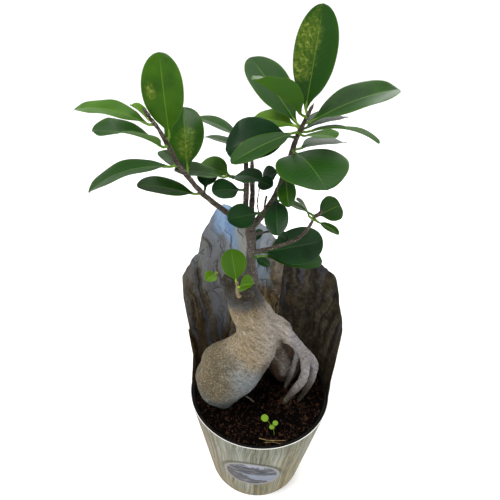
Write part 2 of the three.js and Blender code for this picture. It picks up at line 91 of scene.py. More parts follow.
class Shader:
    """One material's node tree."""

    def __init__(self, name):
        self.material = bpy.data.materials.new(name)
        self.material.use_nodes = True
        self.tree = self.material.node_tree
        self.tree.nodes.clear()

    def node(self, kind, settings=None, inputs=None, output=0):
        """Adds a node with its settings and inputs, and gives one of its outputs."""
        node = self.tree.nodes.new(kind)
        for name, value in (settings or {}).items():
            if name == "stops":
                while len(node.color_ramp.elements) < len(value):
                    node.color_ramp.elements.new(0.5)
                for stop, (place, colour) in zip(node.color_ramp.elements, value):
                    stop.position = place
                    stop.color = (*colour, 1)
            else:
                setattr(node, name, value)
        for name, value in (inputs or {}).items():
            if isinstance(value, Value):
                self.tree.links.new(value.socket, node.inputs[name])
            else:
                node.inputs[name].default_value = value
        return Value(self, node.outputs[output]) if node.outputs else None

    def math(self, operation, *terms):
        return self.node("ShaderNodeMath", {"operation": operation}, dict(enumerate(terms)))

    def place(self):
        """The spot on the object, in its own coordinates."""
        return self.node("ShaderNodeTexCoord", output="Object")

    def split(self, vector):
        x = self.node("ShaderNodeSeparateXYZ", inputs={0: vector})
        return [Value(self, output) for output in x.socket.node.outputs]

    def join(self, x, y, z=0.0):
        return self.node("ShaderNodeCombineXYZ", inputs={0: x, 1: y, 2: z})

    def stretch(self, vector, x, y, z):
        return self.node("ShaderNodeVectorMath", {"operation": "MULTIPLY"}, {0: vector, 1: (x, y, z)})

    def shift(self, vector, other):
        return self.node("ShaderNodeVectorMath", {"operation": "ADD"}, {0: vector, 1: other})

    def attribute(self, name):
        return self.node("ShaderNodeAttribute", {"attribute_name": name}, output="Fac")

    def turn(self, vector, axis, degrees):
        settings = {"rotation_type": axis + "_AXIS"}
        inputs = {"Vector": vector, "Angle": math.radians(degrees)}
        return self.node("ShaderNodeVectorRotate", settings, inputs)

    def noise(self, vector, scale, detail=4.0, rough=0.55, distortion=0.0):
        inputs = {"Vector": vector, "Scale": scale, "Detail": detail, "Roughness": rough}
        inputs["Distortion"] = distortion
        return self.node("ShaderNodeTexNoise", inputs=inputs)

    def cells(self, vector, scale, feature="F1", output="Distance"):
        return self.node(
            "ShaderNodeTexVoronoi", {"feature": feature}, {"Vector": vector, "Scale": scale}, output=output
        )

    def step(self, value, low, high):
        """0 below low, 1 above high, and smooth between. low may be the larger."""
        flip = low > high
        ranged = self.node(
            "ShaderNodeMapRange",
            {"interpolation_type": "SMOOTHSTEP"},
            {"Value": value, "From Min": min(low, high), "From Max": max(low, high)},
        )
        return 1 - ranged if flip else ranged

    def mix(self, amount, below, above):
        """Colour below where amount is 0 and above where it is 1."""
        a, b = (c if isinstance(c, Value) else (*c, 1) for c in (below, above))
        return self.node("ShaderNodeMix", {"data_type": "RGBA"}, {0: amount, 6: a, 7: b}, output=2)

    def ramp(self, value, stops):
        return self.node("ShaderNodeValToRGB", {"stops": stops}, {0: value})

    def bump(self, height, distance, strength):
        return self.node(
            "ShaderNodeBump", inputs={"Height": height, "Distance": distance, "Strength": strength}
        )

    def finish(self, **inputs):
        named = {name.replace("_", " "): value for name, value in inputs.items()}
        surface = self.node("ShaderNodeBsdfPrincipled", inputs=named)
        self.node("ShaderNodeOutputMaterial", inputs={"Surface": surface})
        return self.material


# ---- Mesh helpers ----
def welded(node):
    """A copy of a CAD node's mesh, its loose triangles merged."""
    mesh = bmesh.new()
    mesh.from_mesh(frame["nodes"][node].data)
    bmesh.ops.remove_doubles(mesh, verts=mesh.verts, dist=0.002 * MM)
    return mesh


def faced_outwards(mesh, merge=0.0):
    """Merges corners that are nearer than merge and turns every face outwards."""
    checked = bmesh.new()
    checked.from_mesh(mesh)
    if merge:
        bmesh.ops.remove_doubles(checked, verts=checked.verts, dist=merge)
    bmesh.ops.recalc_face_normals(checked, faces=checked.faces)
    checked.to_mesh(mesh)
    checked.free()


def corners(node):
    """The corners of a CAD node as an array of points."""
    mesh = frame["nodes"][node].data
    points = np.empty(len(mesh.vertices) * 3)
    mesh.vertices.foreach_get("co", points)
    return points.reshape(-1, 3)


def radius_at(node, low, high):
    """The node's largest radius about the pot's axis between two heights."""
    points = corners(node)
    inside = points[(points[:, 2] >= low) & (points[:, 2] <= high)]
    return float(np.hypot(inside[:, 0], inside[:, 1]).max())


def new_object(name, mesh, *materials):
    """An object at the origin that shows the mesh, with its materials in order."""
    shape = bpy.data.objects.new(name, mesh)
    bpy.context.scene.collection.objects.link(shape)
    for material in materials:
        mesh.materials.append(material)
    return shape


def mesh_of(name, points, faces):
    """A smooth-shaded mesh of points and faces."""
    mesh = bpy.data.meshes.new(name)
    mesh.from_pydata([tuple(p) for p in points], [], faces)
    mesh.polygons.foreach_set("use_smooth", [True] * len(mesh.polygons))
    return mesh


def applied(shape):
    """Applies the object's modifiers and gives its plain mesh."""
    bpy.context.view_layer.update()
    mesh = bpy.data.meshes.new_from_object(shape.evaluated_get(bpy.context.evaluated_depsgraph_get()))
    shape.modifiers.clear()
    shape.data = mesh
    return mesh


def piece(shape, slot, *nodes):
    """Parents a finished piece to the root body and hides the CAD nodes that it replaces."""
    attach(shape, "root")
    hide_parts(*nodes)


def smooth_line(stations, values, at):
    """Values at new stations on a smooth curve through the given ones."""
    stations = np.asarray(stations, float)
    values = np.asarray(values, float)
    slopes = np.gradient(values, stations, axis=0)
    at = np.clip(at, stations[0], stations[-1])
    i = np.clip(np.searchsorted(stations, at) - 1, 0, len(stations) - 2)
    span = stations[i + 1] - stations[i]
    t = (at - stations[i]) / span
    if values.ndim > 1:
        t = t[:, None]
        span = span[:, None]
    return (
        (1 + 2 * t) * (1 - t) ** 2 * values[i]
        + t * (1 - t) ** 2 * span * slopes[i]
        + t**2 * (3 - 2 * t) * values[i + 1]
        + t**2 * (t - 1) * span * slopes[i + 1]
    )


def grid_faces(rows, columns, start=0, closed=False, flip=False):
    """Quads over a grid of points that is stored row by row."""
    faces = []
    for r in range(rows - 1):
        for c in range(columns if closed else columns - 1):
            d = (c + 1) % columns
            quad = [start + r * columns + c, start + r * columns + d]
            quad += [start + (r + 1) * columns + d, start + (r + 1) * columns + c]
            faces.append(quad[::-1] if flip else quad)
    return faces


def tube(path, radii, sides):
    """Points and faces of a closed round tube along a path."""
    path = [Vector(p) for p in path]
    points = []
    side = None
    for i, centre in enumerate(path):
        along = (path[min(i + 1, len(path) - 1)] - path[max(i - 1, 0)]).normalized()
        side = (side or along.orthogonal()) - along * (side or along.orthogonal()).dot(along)
        side.normalize()
        other = along.cross(side)
        for k in range(sides):
            angle = 2 * math.pi * k / sides
            points.append(centre + radii[i] * (math.cos(angle) * side + math.sin(angle) * other))
    faces = grid_faces(len(path), sides, closed=True)
    faces.append(list(range(sides))[::-1])
    faces.append([len(points) - sides + k for k in range(sides)])
    return points, faces


class Collector:
    """Gathers several shapes into one mesh."""

    def __init__(self):
        self.points = []
        self.faces = []
        self.slots = []

    def add(self, points, faces, slot=0):
        start = len(self.points)
        self.points += [tuple(p) for p in points]
        self.faces += [[start + i for i in face] for face in faces]
        self.slots += [slot] * len(faces)

    def mesh(self, name):
        mesh = mesh_of(name, self.points, self.faces)
        mesh.polygons.foreach_set("material_index", self.slots)
        return mesh


# ---- Camera and light ----
def aim_camera(place, pitch, yaw, roll, lens):
    """A camera that looks along +Y, turned by yaw, tipped down by pitch and rolled, in degrees."""
    pitch, yaw, roll = (math.radians(a) for a in (pitch, yaw, roll))
    ahead = Vector((math.sin(yaw) * math.cos(pitch), math.cos(yaw) * math.cos(pitch), -math.sin(pitch)))
    right = Vector((math.cos(yaw), -math.sin(yaw), 0))
    above = right.cross(ahead)
    turned_right = math.cos(roll) * right + math.sin(roll) * above
    turned_above = math.cos(roll) * above - math.sin(roll) * right
    camera = bpy.data.objects.new("camera", bpy.data.cameras.new("camera"))
    camera.data.lens = lens
    camera.data.clip_start = 0.01
    axes = Matrix((turned_right, turned_above, -ahead)).transposed().to_4x4()
    camera.matrix_world = Matrix.Translation(place) @ axes
    bpy.context.scene.collection.objects.link(camera)
    bpy.context.scene.camera = camera


def soft_light(name, place, target, size, power, colour=(1, 1, 1)):
    """A round area light at a place, aimed at a target."""
    light = bpy.data.lights.new(name, "AREA")
    light.shape = "DISK"
    light.size = size
    light.energy = power
    light.color = colour
    holder = bpy.data.objects.new(name, light)
    direction = Vector(target) - Vector(place)
    holder.rotation_euler = direction.to_track_quat("-Z", "Y").to_euler()
    holder.location = place
    bpy.context.scene.collection.objects.link(holder)


aim_camera(place=(0, -0.246, 0.391), pitch=31.5, yaw=-2.95, roll=1.9, lens=29.16)
soft_light("key", (-0.8, -0.5, 1.5), (0, 0, 0.2), 0.7, 22, (1, 0.98, 0.95))
soft_light("fill", (1.2, -0.9, 0.9), (0, 0, 0.2), 1.0, 5, (0.93, 0.97, 1))
soft_light("rim", (0.6, 1.2, 1.2), (0, 0, 0.25), 0.9, 12)
soft_light("top", (0, 0.2, 1.7), (0, 0, 0.2), 1.2, 12)
world = bpy.data.worlds.new("studio")
world.use_nodes = True
world.node_tree.nodes["Background"].inputs[0].default_value = (1, 1, 1, 1)
world.node_tree.nodes["Background"].inputs[1].default_value = 0.5
bpy.context.scene.world = world
bpy.context.scene.view_settings.view_transform = "Standard"


# ---- Materials ----
def leaf_material(name, deep, fresh, rib, under, roughness):
    """A waxy blade: deep and fresh greens on top, a pale midrib, fine side veins and a paler underside."""
    s = Shader(name)
    place = s.place()
    across = s.attribute("across")
    along = s.attribute("along")
    below = s.attribute("under")
    stalk = s.attribute("stalk")

    cloud = s.noise(place, 55, 3)
    fine = s.noise(place, 900, 2)
    side = abs(across)
    green = s.mix(s.step(cloud + s.attribute("tone"), 0.3, 1.0), deep, fresh)
    green = s.mix(s.step(side, 0.6, 1.1) * 0.2, green, fresh)

    # Side veins leave the midrib at a slant and fade before the edge.
    slant = along * 15 - side * 3.4 + s.noise(place, 120, 2) * 0.5
    wave = s.math("FRACT", slant)
    vein = s.step(abs(wave - 0.5), 0.08, 0.01) * s.step(side, 0.9, 0.3)
    green = s.mix(vein * 0.07, green, rib)
    midrib = s.step(abs(s.attribute("offset")), 0.42, 0.16) * s.step(along, 1.0, 0.7)
    green = s.mix(midrib * 0.55, green, rib)
    # a painted highlight runs along the blade's edge
    rim = s.step(side, 0.95, 1.0)
    green = s.mix(rim * 0.45, green, rib)

    # Yellowed patches are cloudy, drawn out along the side veins, with creamy flecks.
    blotch = s.attribute("blotch")
    veined = s.noise(s.join(slant * 1.6, across * 3, along * 9), 1.0, 5, 0.7)
    flecks = s.noise(place, 480, 5, 0.75)
    worn = s.step(blotch + (s.noise(place, 130, 4, 0.65) - 0.5) * 1.2, 0.2, 0.75)
    patch = worn * (0.2 + 0.75 * s.step(veined * 0.6 + flecks * 0.4, 0.4, 0.62))
    yellow = s.mix(s.step(flecks, 0.5, 0.66), (0.085, 0.14, 0.008), (0.22, 0.25, 0.05))
    green = s.mix(patch, green, yellow)
    speck = s.step(s.noise(place, 380, 3, 0.7), 0.7, 0.78)
    green = s.mix(speck * 0.2, green, (0.1, 0.17, 0.02))
    pale = s.mix(s.step(cloud, 0.3, 0.8), under, fresh)
    pale = s.mix(midrib * 0.5, pale, rib)
    green = s.mix(below, green, pale)
    # painted shade: the leaves listed darkest sink towards the deep green
    green = s.mix(s.step(s.attribute("tone"), -0.22, -0.6) * 0.8, green, deep)
    green = s.mix(stalk, green, rib)

    relief = fine * 0.25 + cloud * 0.8 - vein * 0.3
    return s.finish(
        Base_Color=green,
        Roughness=roughness + (cloud - 0.5) * 0.12 + below * 0.2 + stalk * 0.15,
        Normal=s.bump(relief, 0.35 * MM, 0.5),
        Specular_IOR_Level=0.11,
        Coat_Weight=0.03,
        Coat_Roughness=0.3,
    )


MATURE = leaf_material(
    "mature_leaf",
    deep=(0.007, 0.038, 0.001),
    fresh=(0.038, 0.106, 0.002),
    rib=(0.095, 0.18, 0.018),
    under=(0.032, 0.09, 0.01),
    roughness=0.38,
)
# A darker copy of the leaf finish for the leaves inside the crown: the shade there is painted into its
# greens.
SHADED_INNER_LEAF = leaf_material(
    "inner_leaf",
    deep=(0.0015, 0.016, 0.003),
    fresh=(0.008, 0.042, 0.006),
    rib=(0.03, 0.08, 0.015),
    under=(0.014, 0.055, 0.012),
    roughness=0.45,
)
YOUNG = leaf_material(
    "young_leaf",
    deep=(0.035, 0.1, 0.001),
    fresh=(0.1, 0.21, 0.003),
    rib=(0.17, 0.28, 0.025),
    under=(0.08, 0.18, 0.012),
    roughness=0.4,
)


def twig_material(name, dark, light, scale=1.0):
    """Grey-brown twig bark: ring scars, fine cracks and small pale pores."""
    s = Shader(name)
    place = s.place()
    x, _, z = s.split(place)
    mottled = s.noise(place, 240 * scale, 5, 0.65)
    rings = s.noise(s.stretch(place, 1, 1, 9), 130 * scale, 3)
    pores = s.step(s.cells(place, 620 * scale), 0.34, 0.2) * s.step(s.noise(place, 150, 2), 0.4, 0.6)
    colour = s.mix(s.step(mottled * 0.6 + rings * 0.5, 0.38, 0.75), dark, light)
    stem = s.step(z, 264 * MM, 244 * MM) * s.step(x, -2 * MM, -7 * MM)
    colour = s.mix(stem * 0.3, colour, (0.1, 0.09, 0.085))
    colour = s.mix(pores * 0.55, colour, (0.3, 0.28, 0.25))
    colour = s.mix(s.step(rings, 0.42, 0.3) * 0.6, colour, tuple(c * 0.4 for c in dark))
    relief = mottled * 0.6 + rings * 0.8 + pores * 0.3
    return s.finish(
        Base_Color=colour,
        Roughness=0.72 + mottled * 0.2,
        Normal=s.bump(relief, 0.5 * MM, 0.8),
        Specular_IOR_Level=0.3,
    )


TWIG = twig_material("twig_bark", (0.01, 0.006, 0.004), (0.078, 0.06, 0.042))
SHOOT = twig_material("green_shoot", (0.12, 0.07, 0.03), (0.28, 0.22, 0.06), 1.4)


def rootstock_material():
    """Tan-grey root bark: slanting fibres, dark pores, lilac-grey roots, a green-grey foot in painted shade
    and a dark graft.
    """
    s = Shader("pale_bark")
    place = s.place()
    x, y, z = s.split(place)
    cloud = s.noise(place, 38, 4, 0.6)
    slanted = s.turn(place, "Y", -38)
    fibre = s.noise(s.stretch(slanted, 0.22, 0.8, 1), 620, 4, 0.7, 0.3)
    wrinkle = s.noise(s.stretch(place, 1, 1, 4.5), 230, 4, 0.6, 0.4)
    pores = s.step(s.cells(place, 650), 0.28, 0.14) * s.step(s.noise(place, 90, 2), 0.45, 0.6)
    patches = s.noise(place, 110, 4, 0.65)
    grit = s.noise(place, 850, 3, 0.7)
    bark = s.mix(s.step(cloud, 0.35, 0.65), (0.19, 0.14, 0.075), (0.23, 0.185, 0.12))
    right = s.step(x + y * 0.3, -16 * MM, 6 * MM)
    bark = s.mix(right * 0.85, bark, (0.28, 0.25, 0.225))
    # the lobe is browner at its left and grey on the side that faces the roots; its foot is green-grey,
    # darkened with painted shade
    lobe = s.mix(s.step(cloud, 0.35, 0.65), (0.07, 0.054, 0.027), (0.11, 0.088, 0.05))
    grey = s.step(x + (cloud - 0.5) * 26 * MM, -32 * MM, -10 * MM)
    lobe = s.mix(grey * 0.9, lobe, (0.165, 0.19, 0.205))
    foot = s.step(z + (cloud - 0.5) * 22 * MM, 132 * MM, 108 * MM)
    lobe = s.mix(foot * 0.9, lobe, (0.03, 0.05, 0.055))
    lobed = s.step(z + x * 0.5 + (cloud - 0.5) * 20 * MM, 152 * MM, 136 * MM) * s.step(x, 14 * MM, 4 * MM)
    bark = s.mix(lobed, bark, lobe)
    bark = s.mix(s.step(patches, 0.56, 0.7) * 0.35, bark, (0.2, 0.19, 0.185))
    bark = s.mix(s.step(patches, 0.45, 0.32) * 0.35, bark, (0.12, 0.08, 0.035))
    # painted shade on the underside of the neck
    hollow = s.step(z, 156 * MM, 145 * MM) * s.step(x, -4 * MM, 3 * MM) * s.step(x, 20 * MM, 14 * MM)
    bark = s.mix(hollow * 0.85, bark, (0.045, 0.037, 0.032))
    root = s.step(x, 17 * MM, 26 * MM)
    lilac = s.mix(s.step(patches, 0.4, 0.65), (0.16, 0.15, 0.15), (0.26, 0.245, 0.265))
    bark = s.mix(root, bark, lilac)
    # the roots darken towards the soil
    bark = s.mix(root * s.step(z, 134 * MM, 104 * MM) * 0.9, bark, (0.045, 0.036, 0.024))
    rear = s.step(y - x * 0.25 + (cloud - 0.5) * 4 * MM, -7 * MM, -3.5 * MM)
    rear = rear * s.step(z, 162 * MM, 150 * MM) * s.step(x, -4 * MM, 2 * MM)
    shaded = s.mix(s.step(patches, 0.4, 0.6), (0.02, 0.011, 0.007), (0.07, 0.034, 0.018))
    bark = s.mix(rear * 0.95, bark, shaded)
    bark = s.mix(s.step(wrinkle, 0.46, 0.3) * 0.5, bark, (0.05, 0.04, 0.026))
    bark = s.mix(s.step(fibre, 0.5, 0.36) * 0.55, bark, (0.05, 0.038, 0.022))
    bark = s.mix(s.step(grit, 0.52, 0.64) * 0.3 * (1 - rear), bark, (0.36, 0.33, 0.28))
    bark = s.mix(s.step(grit, 0.47, 0.36) * 0.4, bark, (0.04, 0.032, 0.022))
    strokes = s.step(fibre, 0.55, 0.7) * (1 - rear) * (1 - root * 0.6) * (1 - lobed * 0.45)
    bark = s.mix(strokes * 0.5, bark, (0.48, 0.45, 0.38))
    bark = s.mix(pores * 0.5, bark, (0.04, 0.03, 0.02))
    # and darken further close to the soil
    bark = s.mix(root * s.step(z, 128 * MM, 100 * MM) * 0.75, bark, (0.028, 0.023, 0.015))
    top = s.step(z + (cloud - 0.5) * 16 * MM + (patches - 0.5) * 16 * MM, 186 * MM, 202 * MM)
    graft = s.mix(s.step(patches, 0.45, 0.6), (0.016, 0.013, 0.01), (0.03, 0.035, 0.042))
    bark = s.mix(top * 0.9, bark, graft)
    scurf = s.step(s.noise(place, 260, 4, 0.7), 0.54, 0.62) * top
    bark = s.mix(scurf * 0.5, bark, (0.1, 0.095, 0.085))
    relief = wrinkle * 0.8 + fibre * 0.8 + grit * 0.5 - pores * 0.5 + cloud * 0.4 + scurf * 0.4
    return s.finish(
        Base_Color=bark,
        Roughness=0.72 + fibre * 0.2,
        Normal=s.bump(relief, 1.2 * MM, 0.9),
        Specular_IOR_Level=0.15,
    )


BARK = rootstock_material()


def fibre_material(name, dark, light):
    """A dry thread, streaked from dark to light."""
    s = Shader(name)
    place = s.place()
    streak = s.noise(place, 300, 3)
    return s.finish(
        Base_Color=s.mix(s.step(streak, 0.35, 0.65), dark, light),
        Roughness=0.7 + streak * 0.2,
        Normal=s.bump(streak, 0.2 * MM, 0.5),
        Specular_IOR_Level=0.1,
    )


PEAT_FIBRE = fibre_material("peat_fibre", (0.004, 0.002, 0.001), (0.036, 0.015, 0.007))
STRAW = fibre_material("straw", (0.12, 0.08, 0.03), (0.26, 0.19, 0.09))
ROOTLET = fibre_material("rootlet", (0.07, 0.058, 0.042), (0.2, 0.18, 0.15))


def soil_material():
    """Dark, crumbly peat."""
    s = Shader("potting_soil")
    place = s.place()
    cloud = s.noise(place, 60, 4)
    grain = s.noise(place, 700, 5, 0.75)
    colour = s.mix(s.step(grain, 0.45, 0.75), (0.001, 0.0006, 0.0004), (0.006, 0.003, 0.0018))
    colour = s.mix(s.step(cloud, 0.55, 0.75) * 0.5, colour, (0.012, 0.006, 0.0035))
    return s.finish(
        Base_Color=colour,
        Roughness=0.85 + grain * 0.12,
        Normal=s.bump(grain + cloud, 1.2 * MM, 0.9),
        Specular_IOR_Level=0.03,
    )


SOIL = soil_material()


def pot_material():
    """Matt black plastic, dusty in places."""
    s = Shader("pot_plastic")
    place = s.place()
    grain = s.noise(place, 1800, 2)
    scuff = s.noise(s.stretch(place, 1, 1, 0.3), 90, 5, 0.7)
    return s.finish(
        Base_Color=s.mix(s.step(scuff, 0.5, 0.75) * 0.5, (0.003, 0.003, 0.003), (0.012, 0.009, 0.007)),
        Roughness=0.6 + scuff * 0.25,
        Normal=s.bump(grain, 0.08 * MM, 0.6),
        Specular_IOR_Level=0.12,
    )


POT = pot_material()

# ---- Card prints ----
# The UV map "print" holds the angle from the front in radians and the height in decimetres.
CARD_SCALE = 0.6  # decimetres of card for one radian round the pot
PICTURE_ANGLE = -0.05
PICTURE_HEIGHT = 0.49
PICTURE_HALF_HEIGHT = 0.215
PICTURE_HALF_ANGLE = 0.26 / 0.53
PICTURE_DIP = 0.32  # how far its ends hang below its middle
STRIPE_ANGLE = -2.47  # the pale stripe beside the stem
SKY_ANGLE = -2.62  # where the strip of sky starts
SKY_HEIGHT = 2.26


def print_place(s):
    """The angle and height of a spot on the card, and both as a flat place in decimetres."""
    angle, height, _ = s.split(s.node("ShaderNodeUVMap", {"uv_map": "print"}))
    return angle, height, s.join(angle * CARD_SCALE, height)


def streaks(s, flat, across, along, detail=5, distortion=0.0):
    """Noise drawn out upwards like the grain of weathered wood. The scales are per decimetre."""
    return s.noise(s.stretch(flat, across, along, 1), 1, detail, 0.62, distortion)


def outside_print():
    """Pale weathered planks with an oval picture of misty hills at the front."""
    s = Shader("card_outside")
    angle, height, flat = print_place(s)
    drift = s.noise(flat, 2.2, 3)
    bent = s.shift(flat, s.join((drift - 0.5) * 0.12, 0.0))
    grain = streaks(s, bent, 30, 1.1, 6, 0.15)
    broad = streaks(s, bent, 7, 0.6, 4)
    thin = streaks(s, bent, 80, 1.5, 4, 0.1)
    mottle = s.noise(flat, 9, 5, 0.65)
    wood = s.ramp(
        grain,
        [
            (0.37, (0.03, 0.028, 0.014)),
            (0.45, (0.1, 0.1, 0.06)),
            (0.52, (0.18, 0.185, 0.135)),
            (0.6, (0.34, 0.355, 0.33)),
        ],
    )
    lilac = s.step(angle, -0.5, -0.95)
    wood = s.mix(lilac * s.step(broad, 0.4, 0.6) * 0.6, wood, (0.19, 0.15, 0.165))
    wood = s.mix(s.step(broad, 0.5, 0.38) * (1 - lilac) * 0.5, wood, (0.12, 0.155, 0.11))
    knot = s.step(mottle + s.step(angle, -0.2, 0.6) * 0.1 - height * 0.16, 0.42, 0.54)
    wood = s.mix(knot * (0.3 + s.step(grain, 0.44, 0.56) * 0.5), wood, (0.3, 0.225, 0.085))
    wood = s.mix(s.step(mottle + height * 0.1, 0.6, 0.7) * 0.5, wood, (0.14, 0.19, 0.2))
    wood = s.mix(s.step(mottle, 0.45, 0.3) * 0.4, wood, (0.27, 0.28, 0.26))
    wood = s.mix(s.step(thin, 0.47, 0.38) * 0.8, wood, (0.045, 0.043, 0.028))
    swirl = s.noise(s.stretch(flat, 10, 10, 1), 1, 3, 0.5, 1.6)
    ring = s.math("FRACT", swirl * 7)
    low = s.step(height, 0.42, 0.2)
    wood = s.mix(s.step(abs(ring - 0.5), 0.16, 0.02) * low * 0.3, wood, (0.09, 0.08, 0.045))
    wood = s.mix(s.step(broad, 0.4, 0.6) * (1 - lilac) * 0.35, wood, (0.3, 0.36, 0.35))
    high = s.step(height + (mottle - 0.5) * 0.3, 1.0, 1.5)
    rock = s.ramp(
        grain * 0.6 + mottle * 0.4,
        [
            (0.3, (0.03, 0.022, 0.012)),
            (0.45, (0.1, 0.08, 0.05)),
            (0.6, (0.19, 0.18, 0.165)),
            (0.72, (0.28, 0.29, 0.31)),
        ],
    )
    wood = s.mix(high, wood, rock)

    # the picture: distances are measured from its middle, 1 at its rim
    dx = (angle - PICTURE_ANGLE) / PICTURE_HALF_ANGLE
    dz = (height - PICTURE_HEIGHT) / PICTURE_HALF_HEIGHT + dx * dx * PICTURE_DIP
    middle = s.math("SQRT", dx * dx + dz * dz)
    ridge = s.noise(s.join(dx * 1.3, dz * 0.3), 2.0, 5, 0.65)
    low_ridge = s.noise(s.join(dx * 1.1, dz * 0.3, 4.0), 1.6, 4, 0.6)
    mist = s.noise(s.join(dx * 1.5, dz * 7), 1.4, 3)
    view = s.mix(s.step(dz, -0.4, 0.8), (0.2, 0.24, 0.33), (0.3, 0.35, 0.46))
    crest = 0.72 - dx * dx * 0.35 + (ridge - 0.5) * 1.1
    band = s.step(dz - crest, 0.1, -0.02) * s.step(dz, -0.15, 0.12)
    hills = s.mix(s.step(mist, 0.4, 0.6), (0.03, 0.035, 0.045), (0.09, 0.1, 0.125))
    view = s.mix(band * 0.95, view, hills)
    shore = s.step(dz + dx * 0.5 - (low_ridge - 0.5) * 1.4, -0.2, -0.34)
    view = s.mix(shore * 0.9, view, (0.06, 0.06, 0.07))
    view = s.mix(s.step(mist, 0.5, 0.66) * 0.5, view, (0.34, 0.36, 0.42))
    shade = s.step(abs(middle - 1.06), 0.16, 0.0) * s.step(dz, -0.3, 0.6)
    wood = s.mix(shade * 0.8, wood, (0.05, 0.05, 0.035))
    wood = s.mix(s.step(middle, 1.0, 0.97), wood, (0.26, 0.27, 0.3))
    wood = s.mix(s.step(middle, 0.9, 0.87), wood, view)
    wood = s.mix(s.step(angle, -0.1, -0.8) * 0.25, wood, (0.22, 0.17, 0.09))
    wood = s.stretch(wood, 0.82, 0.78, 0.72)
    paper = s.noise(flat, 220, 2)
    return s.finish(
        Base_Color=wood,
        Roughness=0.6 + grain * 0.15,
        Normal=s.bump(paper, 0.03 * MM, 0.5),
        Specular_IOR_Level=0.15,
    )


